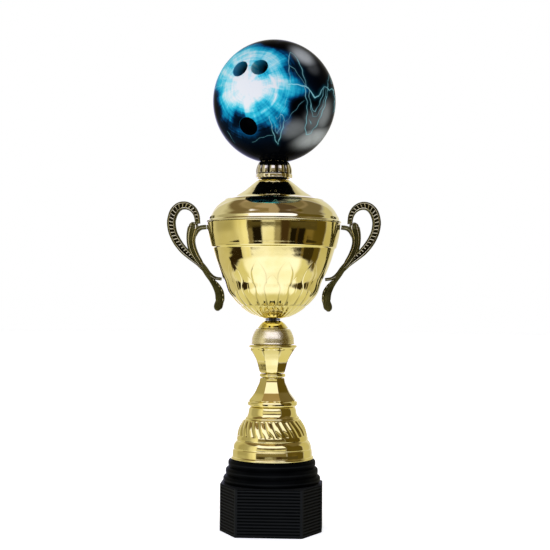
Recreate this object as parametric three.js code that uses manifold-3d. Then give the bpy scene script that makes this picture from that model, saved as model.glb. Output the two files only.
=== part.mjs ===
// Bowling trophy: a gold cup with two cast handles on a stacked stem and a ribbed black plinth,
// and a lift-off lid that carries a bowling ball. Millimetres, +Z up, front towards -Y.
import * as THREE from 'three';
import { mergeVertices } from 'three/addons/utils/BufferGeometryUtils.js';
import ManifoldModule from 'manifold-3d';

const wasm = await ManifoldModule();
wasm.setup();
const { Manifold, Mesh } = wasm;

// ---- driving dimensions ----------------------------------------------------------------------

const GAP = 0.3;                 // clearance between pieces that touch
const ROUND = 32;                // segments around a large turned piece
const FINE = 40;                 // segments around the cup and the lid
const MEDIUM = 24;               // segments around the stem's small pieces
const SMALL = 16;                // segments around rods, washers and holes

// plinth
const BLOCK_FRONT = 38;          // half depth of the octagonal block
const BLOCK_SIDE = 38.2;         // half width of the block
const BLOCK_CHAMFER = 39.2;      // distance from the axis to the four diagonal faces
const BLOCK_CHAMFER_ANGLE = THREE.MathUtils.degToRad(27.3);  // diagonal faces' normal, from +X
const BLOCK_TOP = 35.2;
const BLOCK_WALL = 2.6;
const RIB_COUNT = 15;
const RIB_PITCH = 2.3;
const RIB_HEIGHT = 1.4;
const RIB_DEPTH = 0.5;
const STEPS = [                  // the three round steps on the block: radius and top
  { radius: 36.7, top: 40.8 },
  { radius: 34.9, top: 46.8 },
  { radius: 33.0, top: 52.8 },
];
const PLINTH_TOP = 52.8;
const PLINTH_ROOF = 3;           // thickness of the plinth's top wall
const WEIGHT_RADIUS = 30;
const WEIGHT_BOTTOM = 10;
const PAD_THICKNESS = 2;
const STEP_EDGE = 0.7;           // rounding at the top of each round step
const RIB_EDGE = 0.15;           // half height of a rib's slanted edge

// rod through plinth, stem and cup
const ROD_RADIUS = 3;
const ROD_BOTTOM = 2.6;
const ROD_TOP = 169;
const ROD_HOLE = ROD_RADIUS + GAP;
const ROD_NUT_WIDTH = 10;        // across flats
const BASE_NUT = { bottom: 3.2, top: 8.2 };
const BASE_WASHER = { radius: 9, bottom: 8.5, top: WEIGHT_BOTTOM - GAP };

// stem, from the plinth up
const FOOT_TOP = 92.3;
const LOWER_RISER_TOP = 114.1;
const RING_TOP = 117.4;
const UPPER_RISER_TOP = 139.2;
const DOME_TOP = 151.1;
const COLLAR_TOP = 157.5;
const FACETS = 8;                // sides of both risers

// cup
const CUP_BOTTOM = 159.1;
const CUP_RIM = 231;
const CUP_RIM_RADIUS = 50.9;
const CUP_WASHER_RADIUS = 5.5;
const CUP_INNER_WASHER = { radius: 8, bottom: 161.6, top: 162.6 };
const CUP_NUT = { bottom: 162.9, top: 167.4 };

// lid group
const LID_TOP = 264.9;
const LID_FLANGE_RADIUS = 51.5;
const LOCATING_BOTTOM = 226.5;
const LOCATING_TOP = 233;
const LOCATING_RADIUS = 48.8;
const LOCATING_WALL = 1.5;
const NOTCH_HALF_WIDTH = 4.2;
const NOTCH_TOP = 231.6;
const CROWN_WASHER_RADIUS = 10;
const CROWN_BOTTOM = 267.1;
const CROWN_LOBES = 12;
const LOBE_DEPTH = 0.7;          // how deep the valleys between the crown's lobes are
const BALL_RADIUS = 47;
const BALL_CENTRE = 323.8;
const BALL_WALL = 3;
const STUD_RADIUS = 2;
const STUD_BOTTOM = 256.5;
const STUD_TOP = 290;
const STUD_HOLE = STUD_RADIUS + GAP;
const FINIAL_WASHER = { radius: 6, bottom: 262.4, top: 263.6 };
const FINIAL_NUT = { width: 7, bottom: 258.9, top: 262.1 };
const INSERT_RADIUS = 5;
const INSERT_RECESS = 0.6;       // the insert sits this far inside the ball's skin
const INSERT_TOP = 291;
const BOSS_RADIUS = 8;

// finger holes: azimuth from the front, elevation, radius
const FINGER_HOLES = [
  { azimuth: -33.4, elevation: 23.4, radius: 6.0 },
  { azimuth: -11.9, elevation: 23.4, radius: 6.0 },
  { azimuth: -25.7, elevation: -31.5, radius: 6.9 },
];
const FINGER_DEPTH = 11;
const FINGER_WALL = 2;

// handles
const LOOP_THICKNESS = 5;
const LEAF_THICKNESS = 6;
const HANDLE_STUD_RADIUS = 1.2;
const HANDLE_STUD_ROOT = 1;      // how far a stud starts inside the handle
const HANDLE_STUD_LENGTH = 6.8;
const LUG_WASHER = { radius: 2.6, thickness: 0.8 };
const LUG_NUT = { width: 4.4, height: 2 };
const LUG_SEGMENTS = 12;
// where each stud leaves the handle, how far it climbs inwards, and how deep the cup's inner wall is
const UPPER_LUG = { x: 51.2, z: 228.2, tilt: 0, depth: 1.7 };
const LOWER_LUG = { x: 38.7, z: 188.55, tilt: THREE.MathUtils.degToRad(28), depth: 2.1 };

// ---- materials -------------------------------------------------------------------------------

function paint(color, metalness, roughness) {
  return new THREE.MeshStandardMaterial({ color, metalness, roughness });
}

const GOLD = paint(0xd9c26a, 1, 0.15);
const SATIN_GOLD = paint(0xd8c680, 1, 0.4);
const ANTIQUE = paint(0x5f5a20, 1, 0.35);
const BLACK = paint(0x131418, 0, 0.4);
const RUBBER = paint(0x1c1c1c, 0, 0.8);
const STEEL = paint(0xa5a8ac, 1, 0.35);
const IRON = paint(0x4a4a4c, 1, 0.6);
const BRASS = paint(0xc9a94e, 1, 0.3);
const WHITE = paint(0xe8e6dc, 0, 0.4);
const BALL_BLUE = paint(0x1d6fb0, 0, 0.1);

// ---- geometry helpers ------------------------------------------------------------------------

// Joins equal vertices and drops the empty triangles that a lathe leaves on its axis.
function weld(geometry) {
  geometry.deleteAttribute('uv');
  geometry.deleteAttribute('normal');
  const welded = mergeVertices(geometry, 1e-4);
  const kept = [];
  const index = welded.index.array;
  for (let i = 0; i < index.length; i += 3) {
    const [a, b, c] = [index[i], index[i + 1], index[i + 2]];
    if (a !== b && b !== c && c !== a) kept.push(a, b, c);
  }
  welded.setIndex(kept);
  welded.computeVertexNormals();
  return welded;
}

// Turns a profile of [radius, height] points about Z. radiusAt(angle, radius, height) may reshape it;
// the angle is 0 at the front and grows towards +X.
function turn(profile, segments, radiusAt) {
  const points = profile.map(([r, z]) => new THREE.Vector2(r, z));
  const geometry = new THREE.LatheGeometry(points, segments);
  geometry.rotateX(Math.PI / 2);
  if (radiusAt) {
    const position = geometry.attributes.position;
    for (let i = 0; i < position.count; i += 1) {
      const [x, y, z] = [position.getX(i), position.getY(i), position.getZ(i)];
      const angle = Math.atan2(x, -y);
      const radius = radiusAt(angle, Math.hypot(x, y), z);
      position.setXYZ(i, radius * Math.sin(angle), -radius * Math.cos(angle), z);
    }
  }
  return weld(geometry);
}

// A closed profile: the outer wall from the bottom up, then the inner wall from the top down.
function wall(outer, inner) {
  return [...outer, ...inner, outer[0]];
}

// Points of a smooth curve through the given [radius, height] points.
function smooth(points, divisions) {
  const curve = new THREE.SplineCurve(points.map(([r, z]) => new THREE.Vector2(r, z)));
  return curve.getPoints(divisions).map((p) => [p.x, p.y]);
}

function tube(outer, inner, bottom, top, segments = SMALL) {
  return turn(wall([[outer, bottom], [outer, top]], [[inner, top], [inner, bottom]]), segments);
}

// A washer given by its radius, bottom and top, around a hole.
function ring(washer, hole) {
  return tube(washer.radius, hole, washer.bottom, washer.top);
}

function rod(radius, bottom, top, segments = SMALL) {
  return turn([[0, bottom], [radius, bottom], [radius, top], [0, top]], segments);
}

function hexNut(acrossFlats, bore, bottom, top) {
  const corner = acrossFlats / Math.sqrt(3);
  const shape = new THREE.Shape();
  for (let i = 0; i < 6; i += 1) {
    const angle = i * Math.PI / 3;
    const [x, y] = [corner * Math.cos(angle), corner * Math.sin(angle)];
    if (i === 0) shape.moveTo(x, y);
    else shape.lineTo(x, y);
  }
  shape.closePath();
  const hole = new THREE.Path();
  hole.absarc(0, 0, bore, 0, 2 * Math.PI, true);
  shape.holes.push(hole);
  const geometry = new THREE.ExtrudeGeometry(shape, {
    depth: top - bottom, bevelEnabled: false, curveSegments: SMALL / 2,
  });
  geometry.translate(0, 0, bottom);
  return weld(geometry);
}

function toSolid(geometry) {
  return new Manifold(new Mesh({
    numProp: 3,
    vertProperties: new Float32Array(geometry.attributes.position.array),
    triVerts: new Uint32Array(geometry.index.array),
  }));
}

function toGeometry(solid) {
  const mesh = solid.getMesh();
  const geometry = new THREE.BufferGeometry();
  geometry.setAttribute('position', new THREE.BufferAttribute(mesh.vertProperties, 3));
  geometry.setIndex(new THREE.BufferAttribute(mesh.triVerts, 1));
  return weld(geometry);
}

function cut(geometry, ...tools) {
  return toGeometry(tools.reduce((solid, tool) => solid.subtract(toSolid(tool)), toSolid(geometry)));
}

function join(geometry, ...others) {
  return toGeometry(others.reduce((solid, other) => solid.add(toSolid(other)), toSolid(geometry)));
}

// A rod whose axis runs from one point to another.
function rodBetween(radius, from, to, segments = SMALL) {
  const direction = to.clone().sub(from);
  const geometry = rod(radius, 0, direction.length(), segments);
  const up = new THREE.Vector3(0, 0, 1);
  geometry.applyQuaternion(new THREE.Quaternion().setFromUnitVectors(up, direction.normalize()));
  geometry.translate(from.x, from.y, from.z);
  return geometry;
}

// ---- plinth ----------------------------------------------------------------------------------

// The block's eight corners, moved inwards by inset.
function blockOutline(inset) {
  const [nx, ny] = [Math.cos(BLOCK_CHAMFER_ANGLE), Math.sin(BLOCK_CHAMFER_ANGLE)];
  const front = BLOCK_FRONT - inset;
  const side = BLOCK_SIDE - inset;
  const chamfer = BLOCK_CHAMFER - inset;
  const frontCorner = [(chamfer - ny * front) / nx, front];
  const sideCorner = [side, (chamfer - nx * side) / ny];
  const quarter = [sideCorner, frontCorner];
  const mirrored = (points, sx, sy) => points.map(([x, y]) => [sx * x, sy * y]);
  return [
    ...quarter,
    ...mirrored(quarter, -1, 1).reverse(),
    ...mirrored(quarter, -1, -1),
    ...mirrored(quarter, 1, -1).reverse(),
  ];
}

// A solid stack of block outlines: layers is a list of { inset, z } from the bottom up.
function blockStack(layers) {
  const corners = 2 * 4;
  const positions = [];
  const index = [];
  layers.forEach(({ inset, z }) => {
    blockOutline(inset).forEach(([x, y]) => positions.push(x, y, z));
  });
  for (let layer = 0; layer + 1 < layers.length; layer += 1) {
    for (let i = 0; i < corners; i += 1) {
      const a = layer * corners + i;
      const b = layer * corners + (i + 1) % corners;
      index.push(a, b, b + corners, a, b + corners, a + corners);
    }
  }
  const last = (layers.length - 1) * corners;
  for (let i = 1; i + 1 < corners; i += 1) {
    index.push(0, i + 1, i);
    index.push(last, last + i, last + i + 1);
  }
  const geometry = new THREE.BufferGeometry();
  geometry.setAttribute('position', new THREE.Float32BufferAttribute(positions, 3));
  geometry.setIndex(index);
  return weld(geometry);
}

function baseBlock() {
  const layers = [{ inset: RIB_DEPTH, z: 0 }];
  const firstRib = (BLOCK_TOP - RIB_COUNT * RIB_PITCH) / 2 + (RIB_PITCH - RIB_HEIGHT) / 2;
  for (let rib = 0; rib < RIB_COUNT; rib += 1) {
    const bottom = firstRib + rib * RIB_PITCH;
    const top = bottom + RIB_HEIGHT;
    layers.push({ inset: RIB_DEPTH, z: bottom - RIB_EDGE }, { inset: 0, z: bottom + RIB_EDGE });
    layers.push({ inset: 0, z: top - RIB_EDGE }, { inset: RIB_DEPTH, z: top + RIB_EDGE });
  }
  layers.push({ inset: RIB_DEPTH, z: BLOCK_TOP });

  let bottom = BLOCK_TOP - 1;
  const stepProfile = [[0, bottom]];
  STEPS.forEach(({ radius, top }) => {
    stepProfile.push([radius, bottom], [radius, top - STEP_EDGE], [radius - STEP_EDGE, top]);
    bottom = top;
  });
  stepProfile.push([0, PLINTH_TOP]);

  const cavityTop = PLINTH_TOP - PLINTH_ROOF;
  return cut(
    join(blockStack(layers), turn(stepProfile, ROUND)),
    blockStack([{ inset: BLOCK_WALL, z: -1 }, { inset: BLOCK_WALL, z: BLOCK_TOP - BLOCK_WALL }]),
    rod(WEIGHT_RADIUS + GAP, -1, cavityTop, ROUND),
    rod(ROD_HOLE, 0, PLINTH_TOP + 1),
  );
}

// ---- stem ------------------------------------------------------------------------------------

function footBell() {
  const bead = [[31.1, PLINTH_TOP + GAP], [31.4, 54.2], [30.7, 55.4]];
  const band = [[30.3, 58.1], [29.9, 61]];
  const shoulder = smooth([[29.6, 61.9], [29, 64.7], [27.6, 67.1]], 3);
  const flutes = smooth([[26.7, 70.4], [25.1, 76.5], [21.4, 82.8]], 4);
  const neck = smooth([[20.2, 84.2], [18.9, 87], [17.8, 90.1]], 3);
  const outer = [...bead, ...band, ...shoulder, ...flutes, ...neck, [17.5, FOOT_TOP]];
  const inner = [
    [ROD_HOLE, FOOT_TOP], [ROD_HOLE, FOOT_TOP - 2], [15.8, FOOT_TOP - 2], [17.9, 84],
    [22.6, 77], [25.2, 69], [27.6, 61], [28.6, PLINTH_TOP + GAP],
  ];
  return turn(wall(outer, inner), ROUND);
}

// Flat facets whose middle is at the given radius; one facet faces the front.
function faceted(angle, radius) {
  const step = 2 * Math.PI / FACETS;
  const offset = angle - step * Math.round(angle / step);
  return radius / Math.cos(offset);
}

// Radius that separates the lower riser's outer facets from its round inside.
function flareInside(z) {
  return THREE.MathUtils.mapLinear(z, 96, 109, 15.7, 8);
}

function lowerRiser() {
  const rimTop = 96.4;
  const neckRadius = 9;
  const boreTop = 109;
  const rim = [[17.6, FOOT_TOP + GAP], [18.8, 94.2], [18.9, 95.4], [18.5, rimTop]];
  const flare = smooth([[17.2, 97.4], [13.9, 103], [11.5, 107.1], [10, 110.6], [9.35, 113.6]], 6);
  const outer = [...rim, ...flare, [9.2, LOWER_RISER_TOP]];
  const inner = [
    [ROD_HOLE, LOWER_RISER_TOP], [ROD_HOLE, boreTop], [7.6, boreTop], [11.6, 102.4],
    [15.6, 96], [15.6, FOOT_TOP + GAP],
  ];
  return turn(wall(outer, inner), 2 * FACETS, (angle, radius, z) => (
    radius > neckRadius && z > rimTop + 0.1 && radius > flareInside(z) ? faceted(angle, radius) : radius
  ));
}

function riserRing() {
  const bottom = LOWER_RISER_TOP + GAP;
  const middle = (bottom + RING_TOP) / 2;
  const beadCentre = 8.4;
  const beadRadius = 1.5;
  const lastAngle = THREE.MathUtils.degToRad(75);
  const steps = 4;
  const heightScale = (RING_TOP - bottom) / 2 / Math.sin(lastAngle);
  const outer = [];
  for (let i = 0; i <= steps; i += 1) {
    const angle = THREE.MathUtils.mapLinear(i, 0, steps, -lastAngle, lastAngle);
    outer.push([beadCentre + beadRadius * Math.cos(angle), middle + heightScale * Math.sin(angle)]);
  }
  return turn(wall(outer, [[ROD_HOLE, RING_TOP], [ROD_HOLE, bottom]]), MEDIUM);
}

function upperRiser() {
  const bottom = RING_TOP + GAP;
  const rim = 136.6;
  const boreTop = 122.5;
  const neckRadius = 8.5;
  const flare = smooth([
    [9.3, bottom + 0.5], [9.9, 120.3], [11.6, 126.5], [14.2, 131.6], [17.3, rim],
  ], 6);
  const outer = [[9.0, bottom], ...flare, [18.3, 137.4], [18, 138.4], [16.4, UPPER_RISER_TOP]];
  const inner = [
    [ROD_HOLE, UPPER_RISER_TOP], [ROD_HOLE, UPPER_RISER_TOP - 2], [14.4, UPPER_RISER_TOP - 2],
    [11.4, 131], [8, boreTop], [ROD_HOLE, boreTop], [ROD_HOLE, bottom],
  ];
  const inside = (z) => THREE.MathUtils.mapLinear(z, boreTop, 137, 8.4, 14.8);
  return turn(wall(outer, inner), 2 * FACETS, (angle, radius, z) => (
    radius > neckRadius && z < rim && radius > inside(z) ? faceted(angle, radius) : radius
  ));
}

function satinDome() {
  const bottom = UPPER_RISER_TOP + GAP;
  const outer = smooth([[16.3, bottom], [15.9, 144.4], [14.4, 148.4], [12.8, DOME_TOP]], 5);
  const inner = [
    [ROD_HOLE, DOME_TOP], [ROD_HOLE, DOME_TOP - 2], [10.8, DOME_TOP - 2], [13.6, 144.4],
    [14.2, bottom],
  ];
  return turn(wall(outer, inner), MEDIUM);
}

function domeCollar() {
  const bottom = DOME_TOP + GAP;
  const outer = [
    [11.3, bottom], ...smooth([[11, 152.4], [9, 155.1], [6.3, 157.1]], 4), [5.4, COLLAR_TOP],
  ];
  return turn(wall(outer, [[ROD_HOLE, COLLAR_TOP], [ROD_HOLE, bottom]]), MEDIUM);
}

// ---- cup -------------------------------------------------------------------------------------

function cupBowl() {
  const foot = [[ROD_HOLE, CUP_BOTTOM], [9.4, CUP_BOTTOM]];
  const bowl = smooth([
    [12.5, 160], [22.8, 166.4], [32.5, 176.7], [36.7, 186.7], [40.5, 194.2], [43.9, 202.5],
    [45.8, 208], [46.1, 211.8],
  ], 9);
  const band = [
    [47.6, 212.5], [48.3, 215], [50.2, 223], [CUP_RIM_RADIUS, 230], [CUP_RIM_RADIUS, CUP_RIM],
  ];
  const inside = [
    [49.7, CUP_RIM], [49.2, 223], [46.8, 213.6], [44.8, 211.8],
    ...smooth([
      [44.7, 208], [42.7, 202.4], [35.7, 187.2], [31.5, 177.2], [22.1, 167.3], [12, 160.9],
    ], 7),
    [ROD_HOLE, 160.4],
  ];
  const shell = turn(wall([...foot, ...bowl, ...band], inside), FINE);
  const drillStart = -2;
  const drillEnd = 5;
  const holes = [-1, 1].flatMap((side) => [UPPER_LUG, LOWER_LUG].map((lug) => rodBetween(
    HANDLE_STUD_RADIUS + GAP, lugPoint(lug, side, drillStart), lugPoint(lug, side, drillEnd), LUG_SEGMENTS,
  )));
  return cut(shell, ...holes);
}

// ---- handles ---------------------------------------------------------------------------------

// Point on a lug's stud axis, at a distance inwards from the handle's face.
function lugPoint(lug, side, distance) {
  const [inwards, up] = [Math.cos(lug.tilt), Math.sin(lug.tilt)];
  return new THREE.Vector3(side * (lug.x - distance * inwards), 0, lug.z + distance * up);
}

// Extrudes an outline of the XZ plane symmetrically about the plane.
function plate(outline, side, thickness) {
  const shape = new THREE.Shape(outline.map(([x, z]) => new THREE.Vector2(side * x, z)));
  const geometry = new THREE.ExtrudeGeometry(shape, { depth: thickness, bevelEnabled: false });
  geometry.rotateX(Math.PI / 2);
  geometry.translate(0, thickness / 2, 0);
  return weld(geometry);
}

// Outline of a ribbon: stations are [x, z, half width] along its middle.
function ribbon(stations, divisions) {
  const curve = new THREE.CatmullRomCurve3(stations.map(([x, z, half]) => new THREE.Vector3(x, z, half)));
  const left = [];
  const right = [];
  for (let i = 0; i <= divisions; i += 1) {
    const t = i / divisions;
    const point = curve.getPoint(t);
    const tangent = curve.getTangent(t);
    const length = Math.hypot(tangent.x, tangent.y);
    const [nx, nz] = [-tangent.y / length, tangent.x / length];
    left.push([point.x + nx * point.z, point.y + nz * point.z]);
    right.unshift([point.x - nx * point.z, point.y - nz * point.z]);
  }
  return [...left, ...right];
}

// The big open loop: a ladder-pattern band that grows out of the stem and ends on the leaf.
const LOOP = [
  [57.9, 230.6, 1.9], [58.9, 237.2, 2.2], [61.9, 242, 2.6], [66.7, 244.5, 3], [71.9, 243.9, 3.2],
  [75.9, 240, 3.4], [77.9, 234.2, 3.3], [78.2, 229.5, 3.3], [76.7, 223.3, 3.2], [73.2, 216.5, 3.2],
  [68.3, 210.3, 3], [63, 205.5, 2.6], [58.3, 201.3, 2], [54.4, 197.4, 1.4],
];

// The leaf bundle: up the cup side, over the rounded tip and down the outer side to the waist.
const LEAF = [
  [52.7, 199.2], [56.7, 206.2], [59.1, 213.2], [59.7, 219], [58.6, 223.6], [56.6, 226.6],
  [57.2, 229.6], [60.6, 232], [63.4, 231.6], [65.4, 228.6], [66.3, 223], [66.2, 217], [65.2, 211],
  [62, 205], [56.5, 198.6],
];

// Upper arm, from the leaf to the cup's wall.
const UPPER_ARM = [[58.6, 225.6, 2.2], [55.6, 227.6, 1.8], [51.2, 228.2, 1.7]];

// Stem from the leaf down past the waist to the lower arm that meets the bowl.
const LOWER_ARM = [
  [56.8, 201, 3.2], [52.5, 196.4, 2.3], [48.6, 192.1, 1.7], [44.4, 189.4, 1.3], [38.9, 188.5, 1.2],
];

// The scaled tail leaf that hangs from the waist.
const TAIL = [
  [51.5, 195.6], [48.1, 191.6], [45.1, 188.2], [41, 184.7], [38, 180], [36.7, 175.6], [37.6, 172.4],
  [38.4, 168.6], [39.3, 166.4], [41.8, 164.1], [44.6, 165.6], [45, 167.6], [43.6, 171], [44.1, 176.8],
  [45.8, 181.6], [48.6, 187], [51.4, 191.2], [54.4, 195.6],
];

function handle(side) {
  const studs = [UPPER_LUG, LOWER_LUG].map((lug) => rodBetween(
    HANDLE_STUD_RADIUS, lugPoint(lug, side, -HANDLE_STUD_ROOT), lugPoint(lug, side, HANDLE_STUD_LENGTH),
    LUG_SEGMENTS,
  ));
  return join(
    plate(ribbon(LOOP, 28), side, LOOP_THICKNESS),
    plate(LEAF, side, LEAF_THICKNESS),
    plate(ribbon(UPPER_ARM, 6), side, LOOP_THICKNESS),
    plate(ribbon(LOWER_ARM, 12), side, LOOP_THICKNESS),
    plate(TAIL, side, LEAF_THICKNESS),
    ...studs,
  );
}

// Moves a piece built up along +Z from the origin to a lug's stud axis.
function onLug(geometry, lug, side) {
  const origin = lugPoint(lug, side, 0);
  const axis = lugPoint(lug, side, 1).sub(origin);
  const up = new THREE.Vector3(0, 0, 1);
  geometry.applyQuaternion(new THREE.Quaternion().setFromUnitVectors(up, axis));
  geometry.translate(origin.x, origin.y, origin.z);
  return geometry;
}

// The washer and the nut hold a handle's stud on the inside of the cup.
function lugWasher(lug, side) {
  const near = lug.depth + GAP;
  const washer = tube(LUG_WASHER.radius, HANDLE_STUD_RADIUS + GAP, near, near + LUG_WASHER.thickness);
  return onLug(washer, lug, side);
}

function lugNut(lug, side) {
  const near = lug.depth + LUG_WASHER.thickness + 2 * GAP;
  const nut = hexNut(LUG_NUT.width, HANDLE_STUD_RADIUS + GAP, near, near + LUG_NUT.height);
  return onLug(nut, lug, side);
}

// ---- lid group -------------------------------------------------------------------------------

function lidShell() {
  const flange = [
    [LID_FLANGE_RADIUS, CUP_RIM + GAP], [LID_FLANGE_RADIUS, 232.2], [50.4, 233], [49.6, 235.4],
  ];
  const shoulder = smooth([[48.4, 237.1], [47, 239.8], [44.8, 242.8], [41.5, 245.9], [38.2, 248.2]], 4);
  const cone = smooth([
    [37.2, 248.7], [31.9, 250.4], [27.7, 252.7], [22.3, 256.1], [17.5, 259.9], [12.9, 263.5],
  ], 6);
  const outer = [...flange, ...shoulder, ...cone, [9.6, LID_TOP], [STUD_HOLE, LID_TOP]];
  const inner = [
    [STUD_HOLE, LID_TOP - 1], [9.2, LID_TOP - 1], [16.8, 259], [21.7, 255], [27.2, 251.6],
    [36.8, 247.6], [41, 244.9], [44, 242], [47.8, 236.2], [49.2, 233.4], [49.2, CUP_RIM + GAP],
  ];
  return turn(wall(outer, inner), FINE);
}

// Centres the lid in the cup's mouth; two notches clear the handles' upper nuts.
function locatingRing() {
  const cutterSize = 10;
  const inner = LOCATING_RADIUS - LOCATING_WALL;
  const hoop = tube(LOCATING_RADIUS, inner, LOCATING_BOTTOM, LOCATING_TOP, FINE);
  const notches = [-1, 1].map((side) => {
    const box = new THREE.BoxGeometry(cutterSize, 2 * NOTCH_HALF_WIDTH, cutterSize);
    box.translate(side * LOCATING_RADIUS, 0, NOTCH_TOP - cutterSize / 2);
    return weld(box);
  });
  return cut(hoop, ...notches);
}

function crown() {
  const seat = BALL_RADIUS + GAP;
  const seatPoint = (radius) => [radius, BALL_CENTRE - Math.sqrt(seat * seat - radius * radius)];
  const dome = smooth([[13.9, 268.2], [13.8, 269.4], [13.2, 271.7], [12.3, 275], [11.2, 277.6]], 4);
  const outer = [[13.2, CROWN_BOTTOM], ...dome];
  const bowl = [10.6, 8, 5, STUD_HOLE].map(seatPoint);
  const lipTop = 268.5;
  const bowlRadius = 10.7;
  const lobed = (angle, radius) => radius - LOBE_DEPTH * (1 - Math.cos(CROWN_LOBES * angle)) / 2;
  const profile = wall(outer, [...bowl, [STUD_HOLE, CROWN_BOTTOM]]);
  return turn(profile, 2 * CROWN_LOBES, (angle, radius, z) => (
    z > lipTop && radius > bowlRadius ? lobed(angle, radius) : radius
  ));
}

function ballSphere(radius, segments) {
  const geometry = new THREE.SphereGeometry(radius, segments, segments / 2);
  geometry.rotateX(Math.PI / 2);
  geometry.translate(0, 0, BALL_CENTRE);
  return weld(geometry);
}

// A cylinder along a finger hole's axis, between two distances from the ball's centre.
function fingerRod(hole, radius, near, far) {
  const [azimuth, elevation] = [hole.azimuth, hole.elevation].map(THREE.MathUtils.degToRad);
  const axis = new THREE.Vector3(
    Math.cos(elevation) * Math.sin(azimuth),
    -Math.cos(elevation) * Math.cos(azimuth),
    Math.sin(elevation),
  );
  const centre = new THREE.Vector3(0, 0, BALL_CENTRE);
  const from = centre.clone().addScaledVector(axis, near);
  return rodBetween(radius, from, centre.clone().addScaledVector(axis, far));
}

function bowlingBall() {
  const outerSegments = 36;
  const innerSegments = 20;
  const overshoot = 5;           // how far a cutter reaches past the ball's skin
  const outside = toSolid(ballSphere(BALL_RADIUS, outerSegments));
  let ball = outside.subtract(toSolid(ballSphere(BALL_RADIUS - BALL_WALL, innerSegments)));
  const floor = BALL_RADIUS - FINGER_DEPTH;
  FINGER_HOLES.forEach((hole) => {
    const sleeve = fingerRod(hole, hole.radius + FINGER_WALL, floor - FINGER_WALL, BALL_RADIUS);
    ball = ball.add(outside.intersect(toSolid(sleeve)));
  });
  FINGER_HOLES.forEach((hole) => {
    ball = ball.subtract(toSolid(fingerRod(hole, hole.radius, floor, BALL_RADIUS + overshoot)));
  });
  const ballBottom = BALL_CENTRE - BALL_RADIUS;
  ball = ball.add(outside.intersect(toSolid(rod(BOSS_RADIUS, ballBottom, INSERT_TOP, MEDIUM))));
  ball = ball.subtract(toSolid(rod(INSERT_RADIUS + GAP, ballBottom - 1, INSERT_TOP + 1, MEDIUM)));
  return toGeometry(ball);
}

// ---- assembly --------------------------------------------------------------------------------

const trophy = new THREE.Group();
trophy.name = 'bowling_trophy';

function add(name, geometry, material) {
  const mesh = new THREE.Mesh(geometry, material);
  mesh.name = name;
  trophy.add(mesh);
}

add('base_block', baseBlock(), BLACK);
const weightTop = PLINTH_TOP - PLINTH_ROOF - GAP;
add('base_weight', tube(WEIGHT_RADIUS, ROD_HOLE, WEIGHT_BOTTOM, weightTop, ROUND), IRON);
add('base_pad', blockStack([
  { inset: BLOCK_WALL + GAP, z: 0 }, { inset: BLOCK_WALL + GAP, z: PAD_THICKNESS },
]), RUBBER);
add('base_nut', hexNut(ROD_NUT_WIDTH, ROD_HOLE, BASE_NUT.bottom, BASE_NUT.top), STEEL);
add('base_washer', ring(BASE_WASHER, ROD_HOLE), STEEL);
add('tie_rod', rod(ROD_RADIUS, ROD_BOTTOM, ROD_TOP), STEEL);
add('foot_bell', footBell(), GOLD);
add('lower_riser', lowerRiser(), GOLD);
add('riser_ring', riserRing(), GOLD);
add('upper_riser', upperRiser(), GOLD);
add('satin_dome', satinDome(), SATIN_GOLD);
add('dome_collar', domeCollar(), GOLD);
add('cup_washer', tube(CUP_WASHER_RADIUS, ROD_HOLE, COLLAR_TOP + GAP, CUP_BOTTOM - GAP), RUBBER);
add('cup_bowl', cupBowl(), GOLD);
add('cup_inner_washer', ring(CUP_INNER_WASHER, ROD_HOLE), STEEL);
add('cup_nut', hexNut(ROD_NUT_WIDTH, ROD_HOLE, CUP_NUT.bottom, CUP_NUT.top), STEEL);

[['left', -1], ['right', 1]].forEach(([name, side]) => {
  add(`handle_${name}`, handle(side), ANTIQUE);
  [['upper', UPPER_LUG], ['lower', LOWER_LUG]].forEach(([level, lug]) => {
    add(`handle_washer_${level}_${name}`, lugWasher(lug, side), STEEL);
    add(`handle_nut_${level}_${name}`, lugNut(lug, side), STEEL);
  });
});

add('lid', lidShell(), GOLD);
add('lid_locating_ring', locatingRing(), WHITE);
add('crown_washer', tube(CROWN_WASHER_RADIUS, STUD_HOLE, LID_TOP + GAP, CROWN_BOTTOM - GAP, MEDIUM), RUBBER);
add('crown', crown(), GOLD);
add('finial_stud', rod(STUD_RADIUS, STUD_BOTTOM, STUD_TOP), STEEL);
add('finial_washer', ring(FINIAL_WASHER, STUD_HOLE), STEEL);
add('finial_nut', hexNut(FINIAL_NUT.width, STUD_HOLE, FINIAL_NUT.bottom, FINIAL_NUT.top), STEEL);
const insertBottom = BALL_CENTRE - BALL_RADIUS + INSERT_RECESS;
add('ball_insert', tube(INSERT_RADIUS, STUD_HOLE, insertBottom, INSERT_TOP), BRASS);
add('ball', bowlingBall(), BALL_BLUE);

export default trophy;
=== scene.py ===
import math

import bmesh
import bpy
import numpy as np
from mathutils import Matrix, Vector


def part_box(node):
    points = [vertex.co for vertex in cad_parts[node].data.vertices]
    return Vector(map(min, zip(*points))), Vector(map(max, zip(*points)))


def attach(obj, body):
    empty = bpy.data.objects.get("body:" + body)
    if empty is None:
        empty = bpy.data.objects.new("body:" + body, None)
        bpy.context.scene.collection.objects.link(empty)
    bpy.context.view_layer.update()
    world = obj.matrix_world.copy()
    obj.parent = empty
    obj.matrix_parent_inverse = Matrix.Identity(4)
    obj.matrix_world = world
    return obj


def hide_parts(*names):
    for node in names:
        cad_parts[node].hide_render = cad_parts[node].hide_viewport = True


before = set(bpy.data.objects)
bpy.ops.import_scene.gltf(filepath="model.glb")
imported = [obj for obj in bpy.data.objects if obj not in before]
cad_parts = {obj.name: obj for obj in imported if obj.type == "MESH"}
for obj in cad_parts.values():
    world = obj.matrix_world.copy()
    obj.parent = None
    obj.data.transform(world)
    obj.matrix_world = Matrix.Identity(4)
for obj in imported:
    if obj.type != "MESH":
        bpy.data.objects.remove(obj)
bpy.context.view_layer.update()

# ---- shared sizes, in millimetres as in the CAD ------------------------------------------------

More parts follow.
